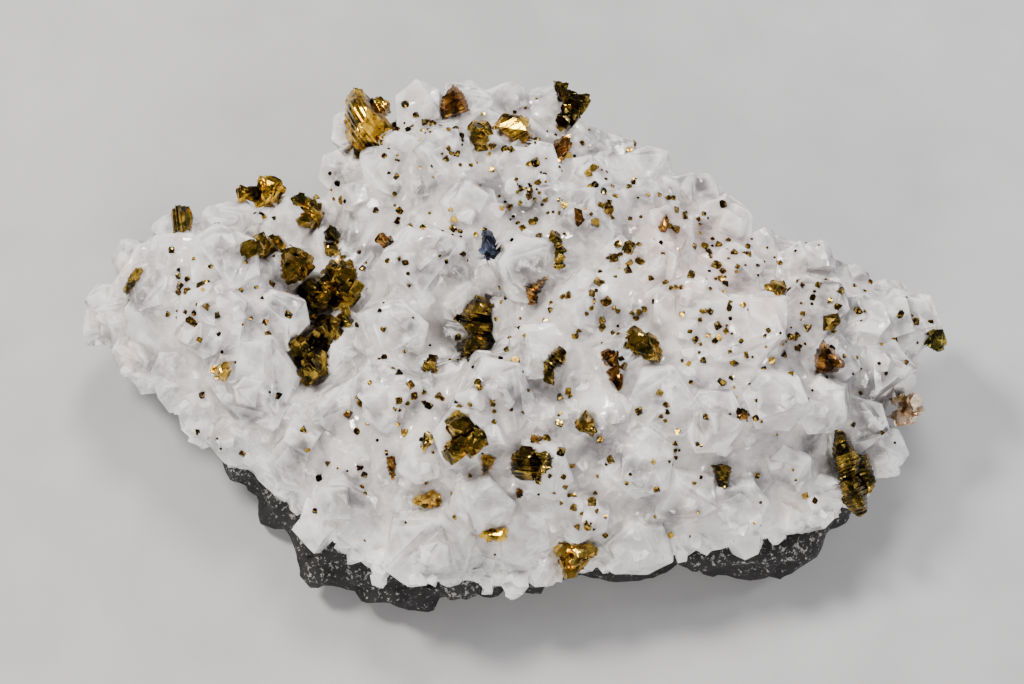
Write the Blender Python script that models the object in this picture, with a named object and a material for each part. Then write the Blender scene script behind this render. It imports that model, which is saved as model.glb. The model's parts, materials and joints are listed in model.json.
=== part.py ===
"""Chalcopyrite on calcite: a loose mineral specimen that lies on its flat-backed matrix.

The specimen is a plate of intergrown calcite crystals on a thin slab of dark rock, with brassy
chalcopyrite crystals seated in the calcite. Lengths are in metres, +Z is up, +X runs along the
plate and the origin lies on the flat underside, below the middle of the plate.
"""

import math
import random

import bmesh
import bpy
from mathutils import Matrix, Vector, geometry, noise
from mathutils.bvhtree import BVHTree

MM = 0.001

# The specimen was measured on a photograph taken from above its near edge. A pixel becomes a place
# on the specimen through the real width, the viewing height and the viewing distance.
SPECIMEN_WIDTH = 180 * MM
WIDTH_IN_PIXELS = 860
PIXEL = SPECIMEN_WIDTH / WIDTH_IN_PIXELS
MIDDLE_PIXEL = (512, 342)
VIEW_HEIGHT = math.radians(64)
VIEW_DISTANCE = 620 * MM
VIEWED_POINT = Vector((0, 0, 22 * MM))
SEEN_RIGHT = Vector((1, 0, 0))
SEEN_UP = Vector((0, math.sin(VIEW_HEIGHT), math.cos(VIEW_HEIGHT)))
TO_VIEWER = Vector((0, -math.cos(VIEW_HEIGHT), math.sin(VIEW_HEIGHT)))
EYE = VIEWED_POINT + TO_VIEWER * VIEW_DISTANCE

# Free space that every two touching pieces keep between them.
SEAT_GAP = 0.5 * MM

# The dark rock slab.
MATRIX_TOP = 12 * MM
LEDGE_DROP = 7 * MM
LEDGE_REACH = 9 * MM
LEDGE_LUMPS = 1.6 * MM
LEDGE_LUMP_LENGTH = 9 * MM
MATRIX_RIM_LIFT = 3.2 * MM
MATRIX_RIM_WIDTH = 7 * MM
MATRIX_OUTLINE = [
    (300, 552), (303, 574), (322, 590), (352, 601), (392, 608), (440, 609), (478, 603), (530, 592),
    (600, 578), (660, 572), (708, 576), (745, 580), (790, 566), (812, 550), (850, 522), (872, 470),
    (868, 400), (845, 350), (785, 305), (715, 258), (655, 220), (605, 182), (535, 155), (450, 145),
    (378, 155), (345, 200), (325, 258), (262, 254), (205, 258), (155, 290), (130, 334), (150, 380),
    (200, 432), (234, 476), (268, 514),
]

# The calcite plate: its edge as seen, each point with the height in mm at which it is the edge.
CRUST_EDGE = [
    (90, 314, 20), (100, 290, 24), (127, 258, 28), (160, 220, 30), (200, 208, 32), (250, 208, 32),
    (300, 210, 30), (334, 210, 28), (340, 172, 32), (344, 124, 34), (374, 108, 36), (420, 97, 36),
    (470, 94, 36), (540, 97, 36), (586, 128, 34), (634, 142, 32), (684, 178, 32), (726, 209, 32),
    (784, 247, 30), (845, 276, 30), (898, 297, 28), (922, 326, 26), (905, 366, 24), (890, 425, 22),
    (872, 480, 18), (852, 516, 15), (800, 538, 13), (730, 553, 13), (660, 559, 13), (590, 573, 13),
    (520, 585, 13), (440, 590, 13), (385, 576, 13), (338, 548, 13), (294, 522, 13), (246, 476, 14),
    (203, 428, 15), (156, 397, 16), (122, 372, 17), (104, 342, 18),
]
PLATEAU = 35 * MM
SHOULDER = 27 * MM
CRUST_RIM_DROP = 3 * MM
CRUST_LOWEST_RIM = 4 * MM
SLOPE_REACH = 1.5 * MM
GRID_STEP = 8 * MM
CRUST_WALL_ROUGH = 2.5 * MM
MATRIX_WALL_ROUGH = 1.8 * MM
MATRIX_STEP = 7 * MM
LEVEL_ANGLE = math.radians(1.5)
KEPT_TRIANGLES = 0.56
CRUST_CREST = 38 * MM

# Swells (+) and hollows (-) of the crust: pixel, radius in mm and height in mm.
RELIEF = [
    ((215, 300), 24, 8), ((440, 140), 26, 9), ((560, 330), 34, 10), ((480, 480), 28, 4),
    ((760, 350), 30, 7), ((905, 330), 10, 4), ((325, 215), 10, -10), ((322, 290), 11, -13),
    ((322, 370), 11, -9), ((480, 322), 8, -13), ((440, 350), 7, -8), ((500, 235), 7, -6),
    ((845, 470), 9, -6), ((875, 440), 8, -6),
]

# Calcite crystals that stand out: pixel, width across in mm, lean (right, up) in degrees.
NAMED_CALCITE = [
    ((900, 322), 14, 12, 4), ((878, 372), 13, 12, -8), ((858, 320), 12, 4, 8), ((816, 308), 12, -4, 6),
    ((806, 276), 14, 12, 24), ((842, 292), 12, 16, 22), ((766, 256), 12, 14, 28),
    ((722, 228), 13, 14, 28), ((690, 198), 13, 12, 28), ((646, 174), 12, 10, 28),
    ((612, 156), 10, 6, 26), ((584, 150), 11, 8, 18), ((548, 114), 13, -4, 20), ((508, 112), 12, 6, 22),
    ((468, 109), 12, -6, 22), ((420, 113), 11, -10, 20), ((360, 128), 11, -18, 18),
    ((354, 174), 12, -18, 4), ((395, 165), 14, -8, 4), ((445, 160), 13, 6, -6), ((528, 172), 13, 4, 6),
    ((430, 268), 18, -6, -6), ((378, 215), 14, -12, 4), ((470, 210), 12, 8, -4),
    ((528, 266), 14, 12, -8), ((460, 300), 10, 14, -16), ((450, 333), 7, -6, -22),
    ((395, 335), 15, -8, -8), ((390, 400), 13, 6, -12), ((500, 395), 14, 4, -10),
    ((590, 300), 13, 10, 4), ((640, 280), 15, -6, 8), ((690, 315), 15, 6, -6), ((745, 330), 14, -8, 4),
    ((600, 415), 13, -6, -12), ((660, 400), 14, 8, -10), ((716, 420), 12, -4, -12),
    ((775, 400), 13, 8, -14), ((820, 402), 11, -8, -16), ((855, 425), 12, 12, -8),
    ((880, 452), 11, 20, -10), ((482, 500), 12, 4, -22), ((430, 545), 17, -6, -34),
    ((520, 535), 12, 6, -36), ((575, 515), 13, -6, -24), ((684, 492), 13, -8, -22),
    ((735, 502), 12, 6, -28), ((788, 470), 9, 10, -24), ((818, 498), 10, 16, -30),
    ((640, 460), 14, 6, -20), ((350, 505), 14, -14, -30), ((300, 460), 13, -12, -26),
    ((252, 378), 18, 8, -10), ((276, 318), 13, 16, -2), ((215, 318), 15, -6, 2),
    ((225, 262), 14, 4, 14), ((178, 264), 13, -16, 10), ((282, 228), 12, 6, 14),
    ((236, 224), 11, -8, 20), ((158, 318), 15, -14, -4), ((108, 304), 9, -30, 6),
    ((104, 324), 9, -34, -6), ((146, 358), 12, -22, -18), ((185, 375), 14, -12, -18),
    ((208, 412), 13, -18, -30), ((245, 440), 13, -10, -34), ((152, 286), 10, -22, 14),
    ((470, 440), 13, -6, -14),
]
CALCITE_SEED = 41
FILL_TRIES = 2600
FILL_WIDTH = (9.5, 14.0)
FILL_PACKING = 0.46
FILL_LEAN = 0.22
FILL_MARGIN = 2 * MM

# The form of a calcite crystal, as shares of its width, with its angles in degrees.
PRISM_SIDE = (0.42, 0.54)
PRISM_LEAN = (-7, 3)
CAP_SLOPE = (18, 38)
CAP_OFFSET = 0.12
CAP_HEIGHT = (0.36, 0.46)
BLUNT_SHARE = (0.04, 0.14)
BLUNT_LEAN = (0, 9)
ROOT_SHARE = 0.62

# The walls of the plate: crystals around the far, left and right ones, broken grains along the near one.
WALL_STEP = 13 * MM
WALL_WIDTH = (10, 15)
WALL_SINK = 0.46
TALL_WALL = 24 * MM
RUBBLE_STEP = 8.5 * MM
RUBBLE_WIDTH = (8, 11)
RUBBLE_SINK = 0.36
RUBBLE_FACE = (0.34, 0.46)
RUBBLE_LEFT_END = (350, 0)
NEAR_FACING = -0.45
LOWEST_RIM = 6 * MM
WALL_FOOT = 3.5 * MM
WALL_HEADROOM = 4 * MM
WALL_SCATTER = 0.3
WALL_RISE = 0.35
UPPER_ROW_RISE = 0.4

# Chalcopyrite crystals. Each lobe lists its corners as seen, and lobes that touch are one crystal group.
# rise is how far the crown stands above the seat, as a share of the width of the lobe.
CHALCOPYRITE = {
    "wedge_crown_left": (0.42, [[(354, 87), (362, 89), (381, 110), (399, 135), (384, 151), (354, 161),
                                 (348, 153), (344, 122), (346, 98)],
                                [(370, 99), (380, 96), (390, 102), (386, 110), (374, 112)]]),
    "triangle_crown": (0.40, [[(453, 84), (463, 93), (471, 111), (461, 115), (442, 120), (440, 110),
                               (442, 98)]]),
    "tooth_crown": (0.45, [[(473, 123), (488, 121), (492, 127), (487, 144), (481, 152), (473, 144),
                            (468, 135)]]),
    "striped_block_crown": (0.45, [[(491, 126), (504, 113), (519, 115), (529, 118), (533, 138), (526, 150),
                                    (511, 142)]]),
    "oval_crown_right": (0.50, [[(562, 136), (570, 136), (571, 148), (559, 163), (551, 156), (551, 146)]]),
    "dark_cluster_crown": (0.45, [[(553, 80), (565, 84), (572, 98), (566, 108), (558, 98)],
                                  [(566, 97), (586, 94), (588, 102), (578, 112), (565, 110)],
                                  [(565, 104), (579, 110), (577, 120), (561, 131), (556, 127), (562, 114)]]),
    "knob_left_lobe": (0.50, [[(258, 178), (266, 175), (278, 180), (282, 190), (273, 204), (265, 209),
                               (258, 196)],
                              [(237, 189), (247, 187), (254, 192), (250, 198), (240, 197)]]),
    "hook_left_lobe": (0.45, [[(290, 198), (300, 193), (311, 198), (308, 207), (292, 206)],
                              [(304, 203), (316, 199), (324, 216), (319, 229), (308, 222)],
                              [(294, 219), (306, 213), (316, 221), (312, 229), (298, 227)]]),
    "bud_valley_top": (0.50, [[(323, 232), (332, 225), (341, 234), (338, 243), (326, 240)]]),
    "blade_valley": (0.42, [[(323, 241), (336, 244), (348, 257), (339, 261), (326, 256)]]),
    "nugget_left_lobe": (0.42, [[(283, 251), (300, 250), (310, 260), (310, 274), (294, 283), (281, 276),
                                 (280, 266)]]),
    "sliver_left_lobe": (0.45, [[(244, 250), (258, 243), (266, 248), (256, 256)],
                                [(256, 246), (268, 237), (284, 240), (283, 252), (270, 250)]]),
    "mass_valley": (0.40, [[(296, 291), (304, 283), (322, 279), (339, 285), (336, 307), (310, 310)],
                           [(326, 265), (352, 260), (358, 277), (346, 291), (327, 284)],
                           [(336, 283), (356, 280), (360, 290), (355, 301), (338, 306)]]),
    "bead_valley_right": (0.50, [[(336, 316), (347, 309), (354, 323), (350, 329), (340, 326)]]),
    "bead_valley_left": (0.50, [[(307, 315), (315, 311), (318, 318), (310, 322)]]),
    "spur_valley_foot": (0.38, [[(325, 314), (335, 322), (324, 344), (307, 358), (290, 352), (290, 345),
                                 (307, 328)],
                                [(308, 352), (321, 340), (329, 347), (328, 375), (312, 382), (296, 376),
                                 (297, 370)],
                                [(325, 316), (341, 320), (339, 335), (328, 341)]]),
    "barrel_left_lobe": (0.45, [[(170, 213), (176, 205), (189, 206), (193, 216), (191, 230), (181, 237),
                                 (173, 233)]]),
    "rind_left_edge": (0.40, [[(126, 296), (125, 285), (132, 273), (141, 268), (138, 277), (130, 292)]]),
    "spark_left_lobe": (0.45, [[(212, 369), (220, 364), (231, 362), (230, 375), (225, 382), (216, 378)]]),
    "bean_upper_middle": (0.45, [[(375, 238), (381, 233), (396, 240), (399, 247), (393, 252), (384, 247)]]),
    "leaf_middle_right": (0.40, [[(524, 287), (536, 283), (549, 275), (543, 288), (531, 299)],
                                 [(526, 294), (534, 293), (538, 303), (530, 306)]]),
    "crescent_middle": (0.50, [[(550, 232), (558, 233), (563, 246), (558, 252), (552, 242)],
                               [(556, 244), (563, 246), (564, 261), (558, 270), (554, 264)]]),
    "double_hollow": (0.38, [[(476, 294), (494, 303), (494, 312), (482, 322), (464, 325), (457, 318)],
                             [(470, 318), (490, 313), (494, 327), (490, 340), (472, 338), (464, 326)],
                             [(472, 331), (492, 335), (491, 347), (476, 360), (462, 364), (456, 353),
                              (462, 341)]]),
    "thorn_hollow": (0.40, [[(421, 368), (432, 356), (437, 361), (438, 376)]]),
    "boot_lower_middle": (0.38, [[(543, 362), (549, 353), (559, 346), (567, 351), (565, 364), (549, 372)],
                                 [(543, 362), (554, 366), (554, 386), (543, 382)]]),
    "nail_lower_middle": (0.42, [[(602, 351), (619, 350), (618, 366), (612, 368), (604, 362)],
                                 [(611, 362), (619, 362), (622, 381), (619, 388), (614, 384)]]),
    "slab_centre": (0.34, [[(627, 335), (633, 328), (652, 335), (663, 351), (660, 363), (645, 359),
                            (625, 347)]]),
    "pyramid_right": (0.42, [[(823, 339), (830, 353), (846, 363), (844, 368), (832, 373), (816, 374),
                              (814, 356)]]),
    "plate_right": (0.34, [[(823, 316), (838, 313), (841, 321), (833, 330), (823, 331)]]),
    "button_right": (0.50, [[(766, 286), (773, 280), (783, 281), (786, 288), (778, 301), (768, 301)]]),
    "drop_upper_right": (0.45, [[(657, 229), (661, 220), (666, 213), (669, 218), (667, 232), (661, 233)]]),
    "comma_upper_middle": (0.45, [[(574, 207), (582, 210), (584, 221), (578, 228), (574, 219)]]),
    "trefoil_lower_left": (0.40, [[(444, 421), (454, 412), (469, 414), (472, 428), (465, 437), (452, 439)],
                                  [(467, 432), (475, 425), (485, 431), (489, 445), (475, 451), (465, 455)],
                                  [(443, 457), (451, 439), (464, 436), (467, 449), (450, 459)]]),
    "chisel_lower_left": (0.42, [[(420, 447), (424, 432), (435, 435), (431, 445), (423, 452)]]),
    "arrow_lower_middle": (0.42, [[(480, 456), (484, 452), (497, 457), (492, 468), (483, 477)]]),
    "ribbed_pair_lower": (0.42, [[(511, 456), (522, 446), (536, 448), (539, 464), (534, 481), (521, 481),
                                  (511, 474)],
                                 [(534, 451), (547, 449), (554, 458), (552, 467), (541, 477), (535, 476)],
                                 [(534, 470), (542, 471), (541, 486), (535, 483)]]),
    "cap_lower": (0.45, [[(531, 434), (544, 437), (540, 444), (531, 443)]]),
    "seed_lower": (0.45, [[(515, 487), (524, 489), (523, 496), (517, 499)]]),
    "tent_lower_right": (0.42, [[(576, 422), (586, 409), (592, 417), (598, 432), (592, 436), (575, 428)]]),
    "fang_lower_left": (0.42, [[(386, 457), (395, 456), (396, 468), (392, 480), (388, 471)]]),
    "gable_lower_left": (0.42, [[(413, 502), (433, 488), (440, 495), (439, 507), (415, 505)]]),
    "crumbs_lower": (0.50, [[(480, 534), (492, 528), (506, 530), (506, 539), (497, 542), (484, 538)]]),
    "heart_lower_edge": (0.38, [[(558, 540), (571, 545), (572, 560), (567, 576), (560, 565)],
                                [(568, 545), (592, 543), (595, 552), (586, 566), (568, 577), (564, 563)]]),
    "claw_lower_right": (0.40, [[(711, 465), (722, 463), (732, 468), (729, 487), (725, 494), (718, 486)]]),
    "nut_lower_right": (0.42, [[(735, 414), (738, 408), (749, 411), (748, 419), (740, 421)]]),
    "pillar_right_edge": (0.36, [[(835, 429), (845, 432), (851, 445), (860, 458), (858, 474), (840, 478),
                                  (832, 455), (833, 443)],
                                 [(859, 460), (866, 455), (871, 465), (876, 480), (874, 489), (869, 494),
                                  (860, 488), (856, 470)],
                                 [(838, 474), (850, 468), (860, 476), (866, 492), (868, 510), (861, 518),
                                  (853, 514), (842, 502)]]),
    "pale_nugget_right_edge": (0.40, [[(905, 400), (910, 395), (919, 395), (923, 402), (921, 415),
                                       (910, 422)],
                                      [(896, 421), (908, 406), (914, 419), (905, 425)]]),
    "knot_right_tip": (0.45, [[(930, 330), (943, 329), (947, 341), (940, 352), (931, 347)]]),
}
# A crystal that overhangs the edge looks for the calcite in steps of this many pixels towards the
# middle, and its corners ignore calcite that lies more than this in front of or behind its seat.
ROOT_SEARCH = 3
SEAT_DEPTH = 5 * MM
BRIDGE_DEPTH = 0.6 * MM
GREY_SULPHIDE = [(484, 232), (494, 236), (500, 247), (500, 258), (487, 261), (480, 251)]

# Material colours (linear RGB), roughness and metallic value.
CALCITE_FINISH = ((0.78, 0.78, 0.79), 0.35, 0.0)
MATRIX_FINISH = ((0.045, 0.045, 0.05), 0.75, 0.0)
CHALCOPYRITE_FINISH = ((0.50, 0.34, 0.09), 0.32, 1.0)
GREY_SULPHIDE_FINISH = ((0.10, 0.11, 0.15), 0.40, 0.8)


def at_pixel(pixel, height):
    """The place at that height that the photograph shows at a pixel."""
    aim = (VIEWED_POINT + SEEN_RIGHT * ((pixel[0] - MIDDLE_PIXEL[0]) * PIXEL)
           + SEEN_UP * ((MIDDLE_PIXEL[1] - pixel[1]) * PIXEL))
    ray = aim - EYE
    return EYE + ray * ((height - EYE.z) / ray.z)


def sight_line(pixel):
    """Direction from the eye through a pixel."""
    return (at_pixel(pixel, 0) - EYE).normalized()


CRUST_OUTLINE = [at_pixel((px, py), z * MM) for px, py, z in CRUST_EDGE]
MATRIX_POINTS = [at_pixel(pixel, 2 * MM) for pixel in MATRIX_OUTLINE]
BUMPS = [(at_pixel(pixel, CRUST_CREST), radius * MM, height * MM) for pixel, radius, height in RELIEF]


def edge_distance(outline, x, y):
    """Distance from (x, y) to an outline, positive inside it, and the height of its nearest point."""
    inside = False
    nearest, rim = 1.0, 0.0
    for a, b in zip(outline, outline[1:] + outline[:1]):
        if (a.y > y) != (b.y > y) and x < a.x + (b.x - a.x) * (y - a.y) / (b.y - a.y):
            inside = not inside
        along = Vector((b.x - a.x, b.y - a.y))
        share = max(0.0, min(1.0, ((x - a.x) * along.x + (y - a.y) * along.y) / along.length_squared))
        away = math.hypot(a.x + along.x * share - x, a.y + along.y * share - y)
        if away < nearest:
            nearest, rim = away, a.z + (b.z - a.z) * share
    return (nearest if inside else -nearest), rim


def matrix_top(x, y):
    """Height of the slab's upper side: level under the crust, lumpy and falling off where it juts out."""
    inward, _ = edge_distance(CRUST_OUTLINE, x, y)
    ledge = max(0.0, min(1.0, -inward / LEDGE_REACH))
    lump = noise.noise(Vector((x, y, 0)) / LEDGE_LUMP_LENGTH) * LEDGE_LUMPS
    return MATRIX_TOP + ledge * (lump - LEDGE_DROP)


def matrix_underside(x, y):
    """Flat in the middle, lifted off the table along the rim."""
    inward, _ = edge_distance(MATRIX_POINTS, x, y)
    rim = max(0.0, 1 - inward / MATRIX_RIM_WIDTH)
    return MATRIX_RIM_LIFT * rim * rim


def crust_underside(_x, _y):
    return MATRIX_TOP + SEAT_GAP


def crust_top(x, y):
    """Height of the crust's body, on which the calcite crystals stand."""
    inward, rim = edge_distance(CRUST_OUTLINE, x, y)
    plateau = PLATEAU
    for centre, radius, height in BUMPS:
        away = ((x - centre.x) ** 2 + (y - centre.y) ** 2) / radius ** 2
        plateau += height * math.exp(-away)
    shoulder = 1 - max(0.0, min(1.0, inward / SHOULDER))
    start = max(rim - CRUST_RIM_DROP, MATRIX_TOP + CRUST_LOWEST_RIM)
    return start + (plateau - start) * (1 - shoulder ** 2)


def crust_normal(x, y):
    reach = SLOPE_REACH
    slope_x = (crust_top(x + reach, y) - crust_top(x - reach, y)) / (2 * reach)
    slope_y = (crust_top(x, y + reach) - crust_top(x, y - reach)) / (2 * reach)
    return Vector((-slope_x, -slope_y, 1)).normalized()


def crust_at_pixel(pixel):
    """Where the sight line through a pixel meets the crust's body."""
    height = CRUST_CREST
    for _ in range(12):
        place = at_pixel(pixel, height)
        height += (crust_top(place.x, place.y) - height) * 0.6
    return at_pixel(pixel, height)


def material(name, finish):
    colour, roughness, metallic = finish
    made = bpy.data.materials.new(name)
    made.use_nodes = True
    shader = made.node_tree.nodes["Principled BSDF"]
    shader.inputs["Base Color"].default_value = (*colour, 1)
    shader.inputs["Roughness"].default_value = roughness
    shader.inputs["Metallic"].default_value = metallic
    made.diffuse_color = (*colour, 1)
    return made


def mesh_object(name, mesh_data, collection, surface=None):
    """Turns a bmesh into an object with outward normals, and frees the bmesh."""
    bmesh.ops.recalc_face_normals(mesh_data, faces=mesh_data.faces)
    mesh = bpy.data.meshes.new(name)
    mesh_data.to_mesh(mesh)
    mesh_data.free()
    made = bpy.data.objects.new(name, mesh)
    collection.objects.link(made)
    if surface:
        mesh.materials.append(surface)
    return made


def helper(obj):
    """Marks a cutter or a shape to be joined, which is no piece of its own."""
    obj.hide_render = True
    obj.display_type = "WIRE"
    return obj


def plate(outline, top, underside, step, rough, seed):
    """A closed plate inside an outline, between two height functions.

    Inner points sit on a jittered grid, and a row of points halfway up the wall moves in and out by up to
    the roughness.
    """
    draw = random.Random(seed)
    rim = []
    for a, b in zip(outline, outline[1:] + outline[:1]):
        pieces = max(1, round((b - a).length / step))
        rim += [Vector(a.lerp(b, i / pieces)[:2]) for i in range(pieces)]
    low = Vector((min(p.x for p in rim), min(p.y for p in rim)))
    high = Vector((max(p.x for p in rim), max(p.y for p in rim)))
    inner = []
    for row in range(int((high.y - low.y) / step) + 1):
        for column in range(int((high.x - low.x) / step) + 1):
            jitter = Vector((draw.uniform(-0.25, 0.25), draw.uniform(-0.25, 0.25)))
            spot = low + (Vector((column, row)) + jitter) * step
            if edge_distance(outline, spot.x, spot.y)[0] > 0.55 * step:
                inner.append(spot)
    edges = [(i, (i + 1) % len(rim)) for i in range(len(rim))]
    flat, _, triangles, _, _, _ = geometry.delaunay_2d_cdt(rim + inner, edges, [], 1, 1e-7)
    body = bmesh.new()
    upper = [body.verts.new((spot.x, spot.y, top(spot.x, spot.y))) for spot in flat]
    lower = [body.verts.new((spot.x, spot.y, underside(spot.x, spot.y))) for spot in flat]
    for corners in triangles:
        body.faces.new([upper[i] for i in corners])
        body.faces.new([lower[i] for i in reversed(corners)])
    centre = sum(flat, Vector((0, 0))) / len(flat)
    halfway = []
    for i in range(len(rim)):
        outwards = Vector((*(flat[i] - centre).normalized(), 0))
        place = upper[i].co.lerp(lower[i].co, draw.uniform(0.35, 0.65))
        halfway.append(body.verts.new(place + outwards * draw.uniform(-1, 0.6) * rough))
    for a, b in edges:
        body.faces.new([upper[a], upper[b], halfway[b], halfway[a]])
        body.faces.new([halfway[a], halfway[b], lower[b], lower[a]])
    return body


def cut(body, point, normal):
    """Takes away what lies beyond a plane and closes the cut."""
    everything = body.verts[:] + body.edges[:] + body.faces[:]
    made = bmesh.ops.bisect_plane(body, geom=everything, plane_co=point, plane_no=normal, clear_outer=True)
    rim = [e for e in made["geom_cut"] if isinstance(e, bmesh.types.BMEdge)]
    if len(rim) > 2:
        bmesh.ops.contextual_create(body, geom=rim)


def around(angle, tilt):
    """A direction tilted from +Z by tilt, at an angle about it."""
    return Vector((math.cos(angle) * math.sin(tilt), math.sin(angle) * math.sin(tilt), math.cos(tilt)))


def calcite_shape(width, draw, blunt):
    """A nailhead calcite crystal: six uneven prism sides and a low cap of three faces."""
    body = bmesh.new()
    bmesh.ops.create_cube(body, size=width * 2.2)
    turn = draw.uniform(0, math.tau)
    for side in range(6):
        out = around(turn + side * math.tau / 6, math.radians(90 + draw.uniform(*PRISM_LEAN)))
        cut(body, out * width * draw.uniform(*PRISM_SIDE), out)
    slope = math.radians(draw.uniform(*CAP_SLOPE))
    offset = [draw.uniform(-CAP_OFFSET, CAP_OFFSET) for _ in "xy"]
    apex = Vector((*offset, draw.uniform(*CAP_HEIGHT))) * width
    for face in range(3):
        cut(body, apex, around(turn + (face + 0.25) * math.tau / 3, slope))
    if blunt:
        tip = apex - Vector((0, 0, draw.uniform(*BLUNT_SHARE) * width))
        cut(body, tip, around(turn, math.radians(draw.uniform(*BLUNT_LEAN))))
    cut(body, Vector((0, 0, -ROOT_SHARE * width)), Vector((0, 0, -1)))
    return body


def rubble_shape(width, draw):
    """A broken grain of massive calcite."""
    body = bmesh.new()
    bmesh.ops.create_cube(body, size=width)
    for _ in range(4):
        out = around(draw.uniform(0, math.tau), math.radians(draw.uniform(25, 110)))
        cut(body, out * width * draw.uniform(*RUBBLE_FACE), out)
    return body


def lay(body, place, axis, spin):
    """Turns a shape's +Z to an axis and moves it to its place."""
    turn = axis.to_track_quat("Z", "Y").to_matrix().to_4x4()
    body.transform(Matrix.Translation(place) @ turn @ Matrix.Rotation(spin, 4, "Z"))
    return body


def calcite_layout():
    """Every calcite crystal as (place, axis, width, kind): the named ones, the fill and the walls."""
    draw = random.Random(CALCITE_SEED)
    placed = []
    for pixel, width, right, up in NAMED_CALCITE:
        place = crust_at_pixel(pixel)
        lean = SEEN_RIGHT * math.tan(math.radians(right)) + SEEN_UP * math.tan(math.radians(up))
        placed.append((place, (TO_VIEWER + lean).normalized(), width * MM, "crystal"))
    low = Vector((min(p.x for p in CRUST_OUTLINE), min(p.y for p in CRUST_OUTLINE)))
    high = Vector((max(p.x for p in CRUST_OUTLINE), max(p.y for p in CRUST_OUTLINE)))
    for _ in range(FILL_TRIES):
        x, y = draw.uniform(low.x, high.x), draw.uniform(low.y, high.y)
        width = draw.uniform(*FILL_WIDTH) * MM
        lean = Vector((draw.gauss(0, FILL_LEAN), draw.gauss(0, FILL_LEAN), 0))
        if edge_distance(CRUST_OUTLINE, x, y)[0] < FILL_MARGIN:
            continue
        place = Vector((x, y, crust_top(x, y)))
        if all((place - other).length > FILL_PACKING * (width + size) for other, _, size, _ in placed):
            placed.append((place, (crust_normal(x, y) + lean).normalized(), width, "crystal"))
    return placed + crust_wall(draw)


def crust_wall(draw):
    """Crystals around the far, left and right walls, and broken grains along the near wall."""
    placed = []
    centre = sum(CRUST_OUTLINE, Vector()) / len(CRUST_OUTLINE)
    for a, b in zip(CRUST_OUTLINE, CRUST_OUTLINE[1:] + CRUST_OUTLINE[:1]):
        along = b - a
        out = Vector((along.y, -along.x, 0)).normalized()
        if out.dot(a - centre) < 0:
            out = -out
        broken = out.y < NEAR_FACING and a.x > at_pixel(RUBBLE_LEFT_END, 0).x
        kind = "rubble" if broken else "crystal"
        step, widths, sink = ((RUBBLE_STEP, RUBBLE_WIDTH, RUBBLE_SINK) if broken
                              else (WALL_STEP, WALL_WIDTH, WALL_SINK))
        count = max(1, round(along.length / step))
        for i in range(count):
            spot = a.lerp(b, (i + draw.uniform(0.3, 0.7)) / count)
            rim = max(spot.z, MATRIX_TOP + LOWEST_RIM)
            rows = 2 if not broken and rim > TALL_WALL else 1
            for row in range(rows):
                share = (row + draw.uniform(0.2, 0.7)) / rows
                height = MATRIX_TOP + WALL_FOOT + (rim - MATRIX_TOP - WALL_HEADROOM) * share
                width = draw.uniform(*widths) * MM
                scatter = [draw.gauss(0, WALL_SCATTER) for _ in "xy"]
                lean = Vector((*scatter, WALL_RISE + UPPER_ROW_RISE * row))
                place = Vector((spot.x, spot.y, height)) - out * sink * width
                placed.append((place, (out + lean).normalized(), width, kind))
    return placed


def trim_under(body, clearance):
    """Takes away what would reach below the crust's underside."""
    cut(body, Vector((0, 0, MATRIX_TOP + clearance)), Vector((0, 0, -1)))
    return body


def keep_largest(obj):
    """Drops chips that a cut has separated from the main body."""
    body = bmesh.new()
    body.from_mesh(obj.data)
    bmesh.ops.remove_doubles(body, verts=body.verts, dist=0.001 * MM)
    body.faces.ensure_lookup_table()
    unseen = set(body.faces)
    shells = []
    while unseen:
        shell, front = [], [unseen.pop()]
        while front:
            face = front.pop()
            shell.append(face)
            for edge in face.edges:
                for other in edge.link_faces:
                    if other in unseen:
                        unseen.remove(other)
                        front.append(other)
        shells.append(shell)
    largest = max(shells, key=lambda shell: sum(face.calc_area() for face in shell))
    doomed = [face for shell in shells if shell is not largest for face in shell]
    bmesh.ops.delete(body, geom=doomed, context="FACES")
    body.to_mesh(obj.data)
    body.free()


def drop_slivers(obj):
    """Takes out the slivers that the crystals' many crossings leave, which hold little of the shape."""
    body = bmesh.new()
    body.from_mesh(obj.data)
    bmesh.ops.triangulate(body, faces=body.faces)
    body.to_mesh(obj.data)
    body.free()
    modifier = obj.modifiers.new("slivers", "DECIMATE")
    modifier.ratio = KEPT_TRIANGLES
    apply_modifiers(obj)


def merge_level_faces(obj):
    """Joins neighbouring faces that are all but level with each other, then splits them into triangles."""
    body = bmesh.new()
    body.from_mesh(obj.data)
    bmesh.ops.dissolve_limit(body, angle_limit=LEVEL_ANGLE, verts=body.verts, edges=body.edges)
    bmesh.ops.triangulate(body, faces=body.faces)
    body.to_mesh(obj.data)
    body.free()


def apply_modifiers(obj):
    graph = bpy.context.evaluated_depsgraph_get()
    obj.data = bpy.data.meshes.new_from_object(obj.evaluated_get(graph))
    obj.modifiers.clear()


def boolean(obj, others, operation):
    """Joins or cuts an object with every object of a collection."""
    modifier = obj.modifiers.new(others.name, "BOOLEAN")
    modifier.operation = operation
    modifier.operand_type = "COLLECTION"
    modifier.collection = others
    modifier.solver = "EXACT"
    apply_modifiers(obj)


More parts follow.
